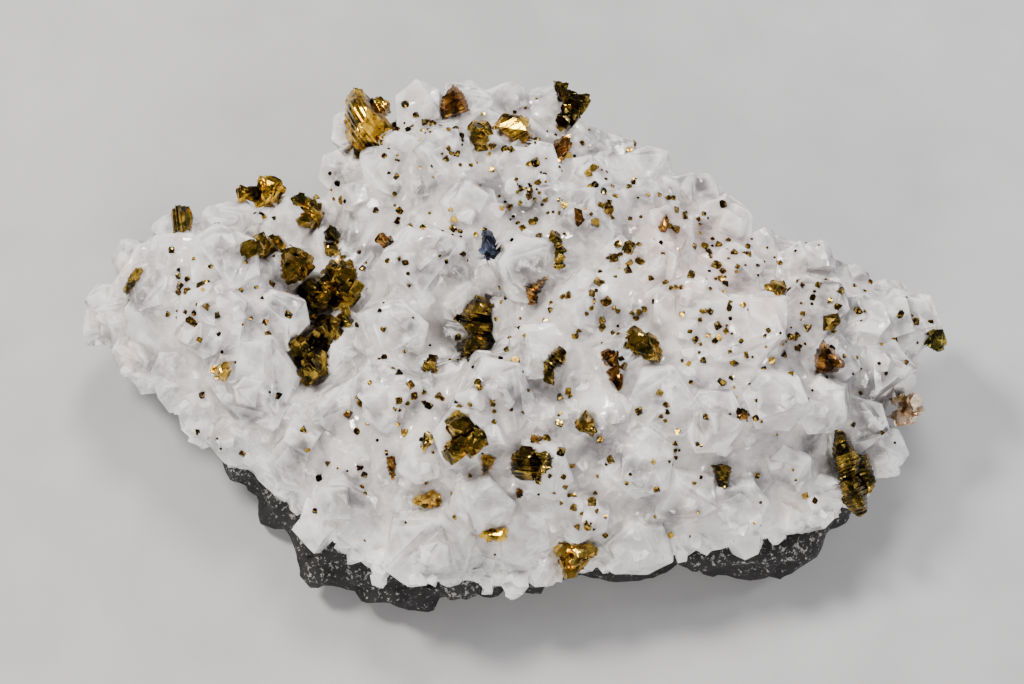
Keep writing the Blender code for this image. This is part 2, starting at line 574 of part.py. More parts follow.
def make_calcite(piece_collection, tool_collection, surface):
    """The crust: one intergrown solid of a body, its crystals and its broken wall."""
    body = plate(CRUST_OUTLINE, crust_top, crust_underside, GRID_STEP, CRUST_WALL_ROUGH, 7)
    calcite = mesh_object("calcite", body, piece_collection, surface)
    crystals = bpy.data.collections.new("calcite_crystals")
    tool_collection.children.link(crystals)
    draw = random.Random(CALCITE_SEED + 1)
    for number, (place, axis, width, kind) in enumerate(calcite_layout()):
        if kind == "rubble":
            shape = rubble_shape(width, draw)
        else:
            shape = calcite_shape(width, draw, blunt=number < len(NAMED_CALCITE))
        lay(shape, place, axis, draw.uniform(0, math.tau))
        trim_under(shape, SEAT_GAP)
        helper(mesh_object(f"{kind}_{number}", shape, crystals))
    boolean(calcite, crystals, "UNION")
    keep_largest(calcite)
    return calcite


def make_matrix(piece_collection, surface):
    """The slab of dark rock under the crust, with a flat back."""
    body = plate(MATRIX_POINTS, matrix_top, matrix_underside, MATRIX_STEP, MATRIX_WALL_ROUGH, 5)
    slab = mesh_object("matrix", body, piece_collection, surface)
    merge_level_faces(slab)
    return slab


def hull(points):
    body = bmesh.new()
    for point in points:
        body.verts.new(point)
    made = bmesh.ops.convex_hull(body, input=body.verts)
    loose = [v for v in made["geom_interior"] if isinstance(v, bmesh.types.BMVert)]
    bmesh.ops.delete(body, geom=loose, context="VERTS")
    return body


def middle_of(corners):
    return Vector((sum(c[0] for c in corners), sum(c[1] for c in corners))) / len(corners)


def seat_of(tree, corners):
    """Nearest and farthest distance of a lobe's girdle from the eye, and how its root shifts, as seen."""
    middle = middle_of(corners)
    inwards = (Vector(MIDDLE_PIXEL) - middle).normalized() * ROOT_SEARCH
    root = middle.copy()
    while tree.ray_cast(EYE, sight_line(root))[3] is None:
        root += inwards
    distances = [tree.ray_cast(EYE, sight_line(root))[3]]
    for corner in corners:
        distance = tree.ray_cast(EYE, sight_line(middle.lerp(Vector(corner), 0.8)))[3]
        if distance and abs(distance - distances[0]) < SEAT_DEPTH:
            distances.append(distance)
    distances.sort()
    return distances[len(distances) // 3], distances[-1], root - middle


def sulphide_lobe(corners, rise, seat, draw, bridge):
    """One crystal with the seen corners on its girdle, a ridge crown above and a root in the calcite.

    A bridge is a point inside the lobe before, which the crystal reaches so that the two grow together.
    """
    near, far, root_offset = seat
    middle = middle_of(corners)
    spread = [Vector(c) - middle for c in corners]
    width = min(max(abs(s.x) for s in spread), max(abs(s.y) for s in spread)) * 2 * PIXEL
    far = min(far, near + width)

    def placed(offset, distance):
        return EYE + sight_line(middle + offset) * distance

    long_way = max(spread, key=lambda s: s.length).normalized()
    half = max(abs(s.dot(long_way)) for s in spread)
    girdle = [placed(s, near + draw.uniform(0.0, 0.12) * width) for s in spread]
    crown = [placed(long_way * half * share, near - rise * width * draw.uniform(0.85, 1.1))
             for share in (-0.42, 0.02, 0.38)]
    shoulder = [placed(s * 0.72, near - rise * width * draw.uniform(0.35, 0.75)) for s in spread[::2]]
    root = [placed(s * 0.5 + root_offset, far + 0.45 * width) for s in spread[::2]]
    return hull(girdle + crown + shoulder + root + bridge)


def swell(body, amount):
    """Moves a convex shape's faces outwards by about the amount."""
    bmesh.ops.recalc_face_normals(body, faces=body.faces)
    body.normal_update()
    moves = [(v, v.normal * v.calc_shell_factor() * amount) for v in body.verts]
    for vertex, move in moves:
        vertex.co += move
    return body


def make_sulphide(name, rise, lobes, tree, collections, surface, seed):
    """A sulphide crystal group as one solid, and a slightly larger copy of it that cuts its seat."""
    piece_collection, tool_collection, seat_collection = collections
    seats = [seat_of(tree, lobe) for lobe in lobes]
    for swollen in (False, True):
        draw = random.Random(seed)
        shapes, bridge = [], []
        for lobe, seat in zip(lobes, seats):
            shape = sulphide_lobe(lobe, rise, seat, draw, bridge)
            shapes.append(swell(shape, SEAT_GAP) if swollen else shape)
            bridge = [EYE + sight_line(middle_of(lobe)) * (seat[0] + BRIDGE_DEPTH)]
        group = mesh_object(f"{name}_seat" if swollen else name, shapes[0],
                            seat_collection if swollen else piece_collection, surface)
        if len(shapes) > 1:
            extra = bpy.data.collections.new(group.name + "_lobes")
            tool_collection.children.link(extra)
            for shape in shapes[1:]:
                helper(mesh_object(group.name + "_lobe", shape, extra))
            boolean(group, extra, "UNION")
        if swollen:
            helper(group)


def clear_scene():
    for obj in list(bpy.data.objects):
        bpy.data.objects.remove(obj)


def main():
    clear_scene()
    pieces = bpy.data.collections.new("chalcopyrite_on_calcite")
    tools = bpy.data.collections.new("tools")
    seats = bpy.data.collections.new("seats")
    for collection in (pieces, tools):
        bpy.context.scene.collection.children.link(collection)
    tools.children.link(seats)
    tools.hide_render = True

    make_matrix(pieces, material("dark_rock", MATRIX_FINISH))
    calcite = make_calcite(pieces, tools, material("calcite", CALCITE_FINISH))
    crust_mesh = bmesh.new()
    crust_mesh.from_mesh(calcite.data)
    tree = BVHTree.FromBMesh(crust_mesh)
    crust_mesh.free()

    brassy = material("chalcopyrite", CHALCOPYRITE_FINISH)
    collections = (pieces, tools, seats)
    for number, (name, (rise, lobes)) in enumerate(CHALCOPYRITE.items()):
        make_sulphide("chalcopyrite_" + name, rise, lobes, tree, collections, brassy, number)
    grey = material("grey_sulphide", GREY_SULPHIDE_FINISH)
    make_sulphide("grey_sulphide_middle", 0.42, [GREY_SULPHIDE], tree, collections, grey, 99)

    boolean(calcite, seats, "DIFFERENCE")
    keep_largest(calcite)
    drop_slivers(calcite)
    keep_largest(calcite)


main()
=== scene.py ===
# Chalcopyrite on calcite: the looks of a loose mineral specimen that lies on its matrix back.
# Metres, +Z up. The specimen is one body, root, and every piece rides on it.
import json
import math
import random

import bmesh
import bpy
from mathutils import Matrix, Vector, noise
from mathutils.bvhtree import BVHTree

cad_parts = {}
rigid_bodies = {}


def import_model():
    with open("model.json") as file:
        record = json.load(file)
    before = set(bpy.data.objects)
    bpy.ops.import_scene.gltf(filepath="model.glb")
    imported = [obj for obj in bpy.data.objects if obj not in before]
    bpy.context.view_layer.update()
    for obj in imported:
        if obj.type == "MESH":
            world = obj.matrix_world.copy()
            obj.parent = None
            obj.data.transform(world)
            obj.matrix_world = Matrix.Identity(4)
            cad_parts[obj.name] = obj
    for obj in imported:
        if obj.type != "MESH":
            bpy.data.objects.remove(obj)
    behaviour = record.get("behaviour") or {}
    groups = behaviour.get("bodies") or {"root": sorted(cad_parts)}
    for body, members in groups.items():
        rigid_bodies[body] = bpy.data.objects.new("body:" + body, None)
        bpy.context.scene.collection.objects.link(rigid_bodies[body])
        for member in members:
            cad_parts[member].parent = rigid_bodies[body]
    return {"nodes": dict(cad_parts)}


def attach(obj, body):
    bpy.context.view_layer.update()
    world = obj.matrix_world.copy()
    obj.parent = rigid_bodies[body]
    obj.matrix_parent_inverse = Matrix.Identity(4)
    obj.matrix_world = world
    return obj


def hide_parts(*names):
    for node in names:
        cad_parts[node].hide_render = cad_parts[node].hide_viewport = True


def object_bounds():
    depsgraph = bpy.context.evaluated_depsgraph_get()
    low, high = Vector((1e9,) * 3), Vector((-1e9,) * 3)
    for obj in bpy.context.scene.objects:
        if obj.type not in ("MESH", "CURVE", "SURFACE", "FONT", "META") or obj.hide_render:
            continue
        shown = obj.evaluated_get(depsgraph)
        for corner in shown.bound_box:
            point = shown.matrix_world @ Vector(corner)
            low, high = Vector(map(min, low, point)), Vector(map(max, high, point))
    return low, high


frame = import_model()
cadBox = [list(corner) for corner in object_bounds()]
print("frame:", len(frame["nodes"]), "nodes")

mm = 0.001

# The photograph's view. A pixel becomes a place through the real width, the viewing height and the distance.
photoView = {
    "elevation": 64,  # degrees above the horizon
    "distance": 620 * mm,
    "target": Vector((0, 0, 22 * mm)),
    "imageWidth": 1024,
    "middlePixel": (512, 342),
    "pixel": 180 * mm / 860,
    "sensor": 36,
}

elevation = math.radians(photoView["elevation"])
seenRight = Vector((1, 0, 0))
seenUp = Vector((0, math.sin(elevation), math.cos(elevation)))
toViewer = Vector((0, -math.cos(elevation), math.sin(elevation)))
eye = photoView["target"] + toViewer * photoView["distance"]


def atPixel(pixel, height):  # the place at that height which the photograph shows at a pixel
    middle = photoView["middlePixel"]
    aim = (photoView["target"] + seenRight * ((pixel[0] - middle[0]) * photoView["pixel"])
           + seenUp * ((middle[1] - pixel[1]) * photoView["pixel"]))
    ray = aim - eye
    return eye + ray * ((height - eye.z) / ray.z)


def sightLine(pixel):
    return (atPixel(pixel, 0) - eye).normalized()


def seenPixel(place):  # the pixel at which the photograph shows a place
    ray = place - eye
    aim = ray * (photoView["distance"] / ray.dot(-toViewer))
    middle = photoView["middlePixel"]
    return Vector((middle[0] + aim.dot(seenRight) / photoView["pixel"],
                   middle[1] - aim.dot(seenUp) / photoView["pixel"]))


def makeCamera():
    lens = bpy.data.cameras.new("photoCamera")
    lens.sensor_width = photoView["sensor"]
    lens.lens = photoView["sensor"] * photoView["distance"] / (photoView["imageWidth"] * photoView["pixel"])
    lens.clip_start = 0.02
    lens.clip_end = 20
    camera = bpy.data.objects.new("photoCamera", lens)
    camera.location = eye
    camera.rotation_euler = (-toViewer).to_track_quat("-Z", "Y").to_euler()
    bpy.context.scene.collection.objects.link(camera)
    bpy.context.scene.camera = camera


makeCamera()

# Shape helpers.
specimen = bpy.data.collections.new("specimen")
workshop = bpy.data.collections.new("workshop")  # shapes to be joined, gone before the end
bpy.context.scene.collection.children.link(specimen)
bpy.context.scene.collection.children.link(workshop)


def meshObject(name, body, collection):
    bmesh.ops.recalc_face_normals(body, faces=body.faces)
    if body.calc_volume(signed=True) < 0:
        bmesh.ops.reverse_faces(body, faces=body.faces)
    mesh = bpy.data.meshes.new(name)
    body.to_mesh(mesh)
    body.free()
    made = bpy.data.objects.new(name, mesh)
    collection.objects.link(made)
    return made


def applyModifiers(obj):
    graph = bpy.context.evaluated_depsgraph_get()
    obj.data = bpy.data.meshes.new_from_object(obj.evaluated_get(graph))
    obj.modifiers.clear()


def isClosed(body):
    return all(edge.is_manifold for edge in body.edges)


def gather(name):
    made = bpy.data.collections.new(name)
    workshop.children.link(made)
    return made


def joinAll(obj, others):  # closed shapes become one skin, with nothing left inside it
    modifier = obj.modifiers.new("join", "BOOLEAN")
    modifier.operation = "UNION"
    modifier.operand_type = "COLLECTION"
    modifier.collection = others
    modifier.solver = "MANIFOLD"
    applyModifiers(obj)
    for other in list(others.objects):
        bpy.data.objects.remove(other)
    bpy.data.collections.remove(others)


def copyNode(name, collection):  # a CAD node's mesh with its loose triangles merged
    body = bmesh.new()
    body.from_mesh(frame["nodes"][name].data)
    bmesh.ops.remove_doubles(body, verts=body.verts, dist=0.002 * mm)
    return meshObject(name + "Look", body, collection)


def remesh(obj, voxel):
    modifier = obj.modifiers.new("remesh", "REMESH")
    modifier.mode = "VOXEL"
    modifier.voxel_size = voxel
    applyModifiers(obj)


def moveAlongNormals(obj, amount):  # amount is a function of place and normal
    body = bmesh.new()
    body.from_mesh(obj.data)
    body.normal_update()
    moves = [vertex.normal * amount(vertex.co, vertex.normal) for vertex in body.verts]
    for vertex, move in zip(body.verts, moves):
        vertex.co += move
    body.to_mesh(obj.data)
    body.free()


def keepInBox(obj):
    low, high = (Vector(corner) for corner in cadBox)
    for vertex in obj.data.vertices:
        vertex.co = [min(max(vertex.co[i], low[i]), high[i]) for i in range(3)]


def paintPoints(obj, name, value):  # value is a function of place and normal, kept as an attribute
    normals = obj.data.vertex_normals
    layer = obj.data.attributes.new(name, "FLOAT", "POINT")
    layer.data.foreach_set("value", [value(v.co, normals[v.index].vector) for v in obj.data.vertices])


def markRidges(obj, name, sharpness):  # 1 on the crest of an edge, 0 in a crease, kept as an attribute
    body = bmesh.new()
    body.from_mesh(obj.data)
    body.normal_update()
    values = []
    for vertex in body.verts:
        ring = [edge.other_vert(vertex).co for edge in vertex.link_edges]
        lift = (vertex.co - sum(ring, Vector()) / len(ring)).dot(vertex.normal)
        values.append(0.5 + 0.5 * max(-1.0, min(1.0, lift / sharpness)))
    body.free()
    layer = obj.data.attributes.new(name, "FLOAT", "POINT")
    layer.data.foreach_set("value", values)


def shade(obj, sharpDegrees):
    obj.data.shade_smooth()
    obj.data.set_sharp_from_angle(angle=math.radians(sharpDegrees))


def treeOf(meshes):
    body = bmesh.new()
    for mesh in meshes:
        body.from_mesh(mesh)
    tree = BVHTree.FromBMesh(body)
    body.free()
    return tree


def keepLargest(obj):  # loose crumbs go
    body = bmesh.new()
    body.from_mesh(obj.data)
    left, parts = set(body.verts), []
    while left:
        part, front = set(), [left.pop()]
        while front:
            vertex = front.pop()
            part.add(vertex)
            joined = {edge.other_vert(vertex) for edge in vertex.link_edges} & left
            left -= joined
            front.extend(joined)
        parts.append(part)
    parts.sort(key=len)
    for part in parts[:-1]:
        bmesh.ops.delete(body, geom=list(part), context="VERTS")
    body.to_mesh(obj.data)
    body.free()


def splitLongEdges(body, longest):
    bmesh.ops.triangulate(body, faces=body.faces)
    for _ in range(5):
        longEdges = [edge for edge in body.edges if edge.calc_length() > longest]
        if not longEdges:
            break
        bmesh.ops.subdivide_edges(body, edges=longEdges, cuts=1)
        bmesh.ops.triangulate(body, faces=[face for face in body.faces if len(face.verts) > 3])


def around(angle, tilt):  # a direction tilted from +Z, at an angle about it
    return Vector((math.cos(angle) * math.sin(tilt), math.sin(angle) * math.sin(tilt), math.cos(tilt)))


def lay(body, place, axis, spin):  # turns a shape's +Z to an axis and moves it to its place
    turn = axis.to_track_quat("Z", "Y").to_matrix().to_4x4()
    body.transform(Matrix.Translation(place) @ turn @ Matrix.Rotation(spin, 4, "Z"))
    return body


def cut(body, point, normal):  # takes away what lies beyond a plane and closes the cut
    everything = body.verts[:] + body.edges[:] + body.faces[:]
    made = bmesh.ops.bisect_plane(body, geom=everything, plane_co=point, plane_no=normal, clear_outer=True)
    rim = [e for e in made["geom_cut"] if isinstance(e, bmesh.types.BMEdge)]
    if len(rim) > 2:
        bmesh.ops.contextual_create(body, geom=rim)
    bmesh.ops.holes_fill(body, edges=[edge for edge in body.edges if edge.is_boundary])


def smoothStep(low, high, value):
    share = max(0.0, min(1.0, (value - low) / (high - low)))
    return share * share * (3 - 2 * share)


# Material helpers.
def linear(hexColour):
    channels = [int(hexColour[i:i + 2], 16) / 255 for i in (1, 3, 5)]
    return (*[c / 12.92 if c <= 0.04045 else ((c + 0.055) / 1.055) ** 2.4 for c in channels], 1)


def newMaterial(name):
    made = bpy.data.materials.new(name)
    made.use_nodes = True
    made.node_tree.nodes.clear()
    return made


def addNode(tree, kind, settings=None, links=None):
    node = tree.nodes.new(kind)
    for name, value in (settings or {}).items():
        if name == "stops":  # a colour ramp's positions and colours or greys
            ramp = node.color_ramp
            while len(ramp.elements) < len(value):
                ramp.elements.new(1)
            for element, (position, colour) in zip(ramp.elements, value):
                element.position = position
                element.color = colour if isinstance(colour, tuple) else (colour, colour, colour, 1)
        elif isinstance(name, int) or (name in node.inputs and not hasattr(type(node), name)):
            node.inputs[name].default_value = value
        else:
            setattr(node, name, value)
    for name, source in (links or {}).items():
        tree.links.new(source, node.inputs[name])
    return node


# Calcite. Its layout is the CAD's own: the same crystals from the same random draws, with finer surfaces.
calcitePlate = {
    # the edge as seen: pixel and the height in mm at which it is the edge
    "edge": [
        (90, 314, 20), (100, 290, 24), (127, 258, 28), (160, 220, 30), (200, 208, 32), (250, 208, 32),
        (300, 210, 30), (334, 210, 28), (340, 172, 32), (344, 124, 34), (374, 108, 36), (420, 97, 36),
        (470, 94, 36), (540, 97, 36), (586, 128, 34), (634, 142, 32), (684, 178, 32), (726, 209, 32),
        (784, 247, 30), (845, 276, 30), (898, 297, 28), (922, 326, 26), (905, 366, 24), (890, 425, 22),
        (872, 480, 18), (852, 516, 15), (800, 538, 13), (730, 553, 13), (660, 559, 13), (590, 573, 13),
        (520, 585, 13), (440, 590, 13), (385, 576, 13), (338, 548, 13), (294, 522, 13), (246, 476, 14),
        (203, 428, 15), (156, 397, 16), (122, 372, 17), (104, 342, 18),
    ],
    "plateau": 35 * mm,
    "shoulder": 27 * mm,
    "crest": 38 * mm,
    "rockTop": 12 * mm,
    "seatGap": 0.5 * mm,
    # swells (+) and hollows (-): pixel, radius in mm, height in mm
    "swells": [
        ((215, 300), 24, 8), ((440, 140), 26, 9), ((560, 330), 34, 10), ((480, 480), 28, 4),
        ((760, 350), 30, 7), ((905, 330), 10, 4), ((325, 215), 10, -10), ((322, 290), 11, -13),
        ((322, 370), 11, -9), ((480, 322), 8, -13), ((440, 350), 7, -8), ((500, 235), 7, -6),
        ((845, 470), 9, -6), ((875, 440), 8, -6),
    ],
    # crystals that stand out: pixel, width in mm, lean right and up in degrees
    "crystals": [
        ((900, 322), 14, 12, 4), ((878, 372), 13, 12, -8), ((858, 320), 12, 4, 8), ((816, 308), 12, -4, 6),
        ((806, 276), 14, 12, 24), ((842, 292), 12, 16, 22), ((766, 256), 12, 14, 28), ((722, 228), 13, 14, 28),
        ((690, 198), 13, 12, 28), ((646, 174), 12, 10, 28), ((612, 156), 10, 6, 26), ((584, 150), 11, 8, 18),
        ((548, 114), 13, -4, 20), ((508, 112), 12, 6, 22), ((468, 109), 12, -6, 22), ((420, 113), 11, -10, 20),
        ((360, 128), 11, -18, 18), ((354, 174), 12, -18, 4), ((395, 165), 14, -8, 4), ((445, 160), 13, 6, -6),
        ((528, 172), 13, 4, 6), ((430, 268), 18, -6, -6), ((378, 215), 14, -12, 4), ((470, 210), 12, 8, -4),
        ((528, 266), 14, 12, -8), ((460, 300), 10, 14, -16), ((450, 333), 7, -6, -22), ((395, 335), 15, -8, -8),
        ((390, 400), 13, 6, -12), ((500, 395), 14, 4, -10), ((590, 300), 13, 10, 4), ((640, 280), 15, -6, 8),
        ((690, 315), 15, 6, -6), ((745, 330), 14, -8, 4), ((600, 415), 13, -6, -12), ((660, 400), 14, 8, -10),
        ((716, 420), 12, -4, -12), ((775, 400), 13, 8, -14), ((820, 402), 11, -8, -16), ((855, 425), 12, 12, -8),
        ((880, 452), 11, 20, -10), ((482, 500), 12, 4, -22), ((430, 545), 17, -6, -34), ((520, 535), 12, 6, -36),
        ((575, 515), 13, -6, -24), ((684, 492), 13, -8, -22), ((735, 502), 12, 6, -28), ((788, 470), 9, 10, -24),
        ((818, 498), 10, 16, -30), ((640, 460), 14, 6, -20), ((350, 505), 14, -14, -30),
        ((300, 460), 13, -12, -26), ((252, 378), 18, 8, -10), ((276, 318), 13, 16, -2), ((215, 318), 15, -6, 2),
        ((225, 262), 14, 4, 14), ((178, 264), 13, -16, 10), ((282, 228), 12, 6, 14), ((236, 224), 11, -8, 20),
        ((158, 318), 15, -14, -4), ((108, 304), 9, -30, 6), ((104, 324), 9, -34, -6), ((146, 358), 12, -22, -18),
        ((185, 375), 14, -12, -18), ((208, 412), 13, -18, -30), ((245, 440), 13, -10, -34),
        ((152, 286), 10, -22, 14), ((470, 440), 13, -6, -14),
    ],
    "seed": 41,
    "fillTries": 2600,
    "fillWidth": (9.5, 14.0),
    "fillPacking": 0.46,
    "wallStep": 13 * mm,
    "rubbleStep": 8.5 * mm,
}

calciteSurface = {
    "edgeRound": 0.07,  # of a crystal's width
    "tipCut": (0.05, 0.15),  # how far below the tip a flat end lies, of the width
    "growthSteps": (0.10, 0.35),  # how far in from a face's rim a growth layer starts, of its half width
    "growthHeight": 0.10 * mm,
    "finestEdge": 3.4 * mm,
    "wave": (0.16 * mm, 4.0 * mm),  # height and length of the faces' slow wave
    "ripple": (0.05 * mm, 1.3 * mm),
    "bodyVoxel": 2.2 * mm,
    "bodySmoothing": 14,  # rounds, which fill the hollows between the crystals
    "hollowFill": 3.0 * mm,
    "bodyInset": 0.9 * mm,
    "sulphideRoom": (1.5 * mm, 6.0 * mm),  # hollows stay open this close to a sulphide
    "sulphideRim": 1.4 * mm,  # the calcite is finer this close to a sulphide
    "rimEdge": 1.3 * mm,
    "coverDepth": 8 * mm,
    "coverGap": 0.6 * mm,
    "coverRounds": 3,
    "middleCrystals": 130,
    "middleWidth": (5.0, 9.5),  # mm
    "middleSink": (0.28, 0.42),
    "smallCrystals": 100,
    "smallWidth": (2.2, 5.0),
    "smallSink": (0.22, 0.38),
    "grains": 540,
    "grainWidth": (1.3, 3.5),
    "grainSink": 0.24,
    "rimSharpness": 0.11 * mm,
    "sharpDegrees": 32,
    "seed": 7,
    # tints, each at a pixel: reach in pixels and strength
    "pink": [
        ((692, 262), 46, 0.9), ((660, 235), 26, 0.5), ((126, 266), 9, 1.0), ((130, 355), 10, 0.8),
        ((690, 518), 8, 1.0), ((790, 508), 9, 1.0), ((770, 300), 40, 0.45),
    ],
    # smoky grey crystals, and painted shade in the hollows and pockets between crystals
    "smoke": [
        ((884, 408), 30, 1.6), ((868, 440), 14, 1.0), ((318, 292), 12, 0.7), ((448, 330), 18, 1.2),
        ((560, 250), 10, 0.8), ((592, 136), 14, 0.5), ((300, 345), 14, 0.5), ((500, 148), 9, 0.7),
        ((868, 378), 10, 0.5), ((316, 432), 14, 0.5), ((480, 330), 22, 0.5), ((535, 262), 18, 0.6),
        ((512, 285), 12, 0.6), ((240, 470), 10, 0.4), ((420, 250), 10, 0.3), ((655, 330), 12, 0.3),
    ],
    # painted highlights: white flashes where faces would catch the light
    "gleam": [
        ((690, 256), 9, 1.0), ((702, 270), 9, 1.0), ((712, 284), 8, 1.0), ((763, 236), 9, 1.0), ((774, 328), 12, 1.0),
        ((684, 244), 8, 0.8), ((414, 131), 8, 1.0), ((341, 163), 9, 0.8), ((452, 92), 10, 0.8), ((534, 92), 12, 0.9),
        ((300, 425), 9, 1.0), ((318, 412), 8, 0.8), ((366, 225), 9, 0.7), ((394, 372), 9, 0.9), ((472, 372), 8, 0.7),
        ((560, 150), 8, 0.7), ((630, 165), 10, 0.7), ((206, 238), 12, 0.7), ((246, 348), 10, 0.7),
        ((168, 378), 14, 0.8), ((640, 372), 8, 0.8), ((708, 372), 9, 0.7), ((750, 400), 9, 0.9), ((812, 300), 9, 0.8),
        ((655, 530), 12, 0.9), ((740, 500), 10, 0.9), ((795, 522), 9, 0.8), ((480, 520), 9, 0.8), ((398, 506), 9, 0.7),
        ((860, 432), 8, 0.8), ((835, 330), 8, 0.7), ((545, 470), 8, 0.6),
    ],
}

crustOutline = [atPixel((px, py), height * mm) for px, py, height in calcitePlate["edge"]]
crustSwells = [(atPixel(pixel, calcitePlate["crest"]), radius * mm, height * mm)
               for pixel, radius, height in calcitePlate["swells"]]


def edgeDistance(x, y):  # inwards from the plate's edge, and the height of the nearest edge
    inside = False
    nearest, rim = 1.0, 0.0
    for a, b in zip(crustOutline, crustOutline[1:] + crustOutline[:1]):
        if (a.y > y) != (b.y > y) and x < a.x + (b.x - a.x) * (y - a.y) / (b.y - a.y):
            inside = not inside
        along = Vector((b.x - a.x, b.y - a.y))
        share = max(0.0, min(1.0, ((x - a.x) * along.x + (y - a.y) * along.y) / along.length_squared))
        away = math.hypot(a.x + along.x * share - x, a.y + along.y * share - y)
        if away < nearest:
            nearest, rim = away, a.z + (b.z - a.z) * share
    return (nearest if inside else -nearest), rim


def crustTop(x, y):
    inward, rim = edgeDistance(x, y)
    plateau = calcitePlate["plateau"]
    for centre, radius, height in crustSwells:
        away = ((x - centre.x) ** 2 + (y - centre.y) ** 2) / radius ** 2
        plateau += height * math.exp(-away)
    shoulder = 1 - max(0.0, min(1.0, inward / calcitePlate["shoulder"]))
    start = max(rim - 3 * mm, calcitePlate["rockTop"] + 4 * mm)
    return start + (plateau - start) * (1 - shoulder ** 2)


def crustNormal(x, y):
    step = 1.5 * mm
    slopeX = (crustTop(x + step, y) - crustTop(x - step, y)) / (2 * step)
    slopeY = (crustTop(x, y + step) - crustTop(x, y - step)) / (2 * step)
    return Vector((-slopeX, -slopeY, 1)).normalized()


def crustAtPixel(pixel):
    height = calcitePlate["crest"]
    for _ in range(12):
        place = atPixel(pixel, height)
        height += (crustTop(place.x, place.y) - height) * 0.6
    return atPixel(pixel, height)


def crustWall(draw):  # crystals round the far, left and right walls, broken grains along the near wall
    placed = []
    rockTop = calcitePlate["rockTop"]
    centre = sum(crustOutline, Vector()) / len(crustOutline)
    for a, b in zip(crustOutline, crustOutline[1:] + crustOutline[:1]):
        along = b - a
        out = Vector((along.y, -along.x, 0)).normalized()
        if out.dot(a - centre) < 0:
            out = -out
        broken = out.y < -0.45 and a.x > atPixel((350, 0), 0).x
        count = max(1, round(along.length / calcitePlate["rubbleStep" if broken else "wallStep"]))
        for i in range(count):
            spot = a.lerp(b, (i + draw.uniform(0.3, 0.7)) / count)
            rim = max(spot.z, rockTop + 6 * mm)
            rows = 2 if not broken and rim > 24 * mm else 1
            for row in range(rows):
                height = rockTop + 3.5 * mm + (rim - rockTop - 4 * mm) * (row + draw.uniform(0.2, 0.7)) / rows
                width = (draw.uniform(8, 11) if broken else draw.uniform(10, 15)) * mm
                axis = (out + Vector((draw.gauss(0, 0.3), draw.gauss(0, 0.3), 0.35 + 0.4 * row))).normalized()
                place = Vector((spot.x, spot.y, height)) - out * (0.36 if broken else 0.46) * width
                placed.append((place, axis, width, "rubble" if broken else "crystal"))
    return placed


def calciteLayout():  # every crystal as place, axis, width and kind
    draw = random.Random(calcitePlate["seed"])
    placed = []
    for pixel, width, right, up in calcitePlate["crystals"]:
        lean = seenRight * math.tan(math.radians(right)) + seenUp * math.tan(math.radians(up))
        placed.append((crustAtPixel(pixel), (toViewer + lean).normalized(), width * mm, "crystal"))
    low = Vector((min(p.x for p in crustOutline), min(p.y for p in crustOutline)))
    high = Vector((max(p.x for p in crustOutline), max(p.y for p in crustOutline)))
    for _ in range(calcitePlate["fillTries"]):
        x, y = draw.uniform(low.x, high.x), draw.uniform(low.y, high.y)
        width = draw.uniform(*calcitePlate["fillWidth"]) * mm
        lean = Vector((draw.gauss(0, 0.22), draw.gauss(0, 0.22), 0))
        if edgeDistance(x, y)[0] < 2 * mm:
            continue
        place = Vector((x, y, crustTop(x, y)))
        packing = calcitePlate["fillPacking"]
        if all((place - other).length > packing * (width + size) for other, _, size, _ in placed):
            placed.append((place, (crustNormal(x, y) + lean).normalized(), width, "crystal"))
    return placed + crustWall(draw)


def calciteShape(width, draw, blunt):  # nailhead form: six uneven sides and a low cap of three faces
    body = bmesh.new()
    bmesh.ops.create_cube(body, size=width * 2.2)
    turn = draw.uniform(0, math.tau)
    for side in range(6):
        out = around(turn + side * math.tau / 6, math.radians(90 + draw.uniform(-7, 3)))
        cut(body, out * width * draw.uniform(0.42, 0.54), out)
    slope = math.radians(draw.uniform(18, 38))
    apex = Vector((draw.uniform(-0.12, 0.12), draw.uniform(-0.12, 0.12), draw.uniform(0.36, 0.46))) * width
    for face in range(3):
        cut(body, apex, around(turn + (face + 0.25) * math.tau / 3, slope))
    if blunt:
        tip = apex - Vector((0, 0, draw.uniform(0.04, 0.14) * width))
        cut(body, tip, around(turn, math.radians(draw.uniform(0, 9))))
    cut(body, Vector((0, 0, -0.62 * width)), Vector((0, 0, -1)))
    return body


def rubbleShape(width, draw):  # a broken grain
    body = bmesh.new()
    bmesh.ops.create_cube(body, size=width)
    for _ in range(4):
        out = around(draw.uniform(0, math.tau), math.radians(draw.uniform(25, 110)))
        cut(body, out * width * draw.uniform(0.34, 0.46), out)
    return body


def chip(body, width, draw):  # breaks the corners off a grain
    for _ in range(7):
        out = around(draw.uniform(0, math.tau), draw.uniform(0.2, 2.4))
        cut(body, out * width * draw.uniform(0.34, 0.44), out)


def flatEnd(body, width, draw):  # most crystals end in a small flat face
    top = max(vertex.co.z for vertex in body.verts)
    tip = Vector((0, 0, top - draw.uniform(*calciteSurface["tipCut"]) * width))
    cut(body, tip, around(draw.uniform(0, math.tau), math.radians(draw.uniform(0, 12))))


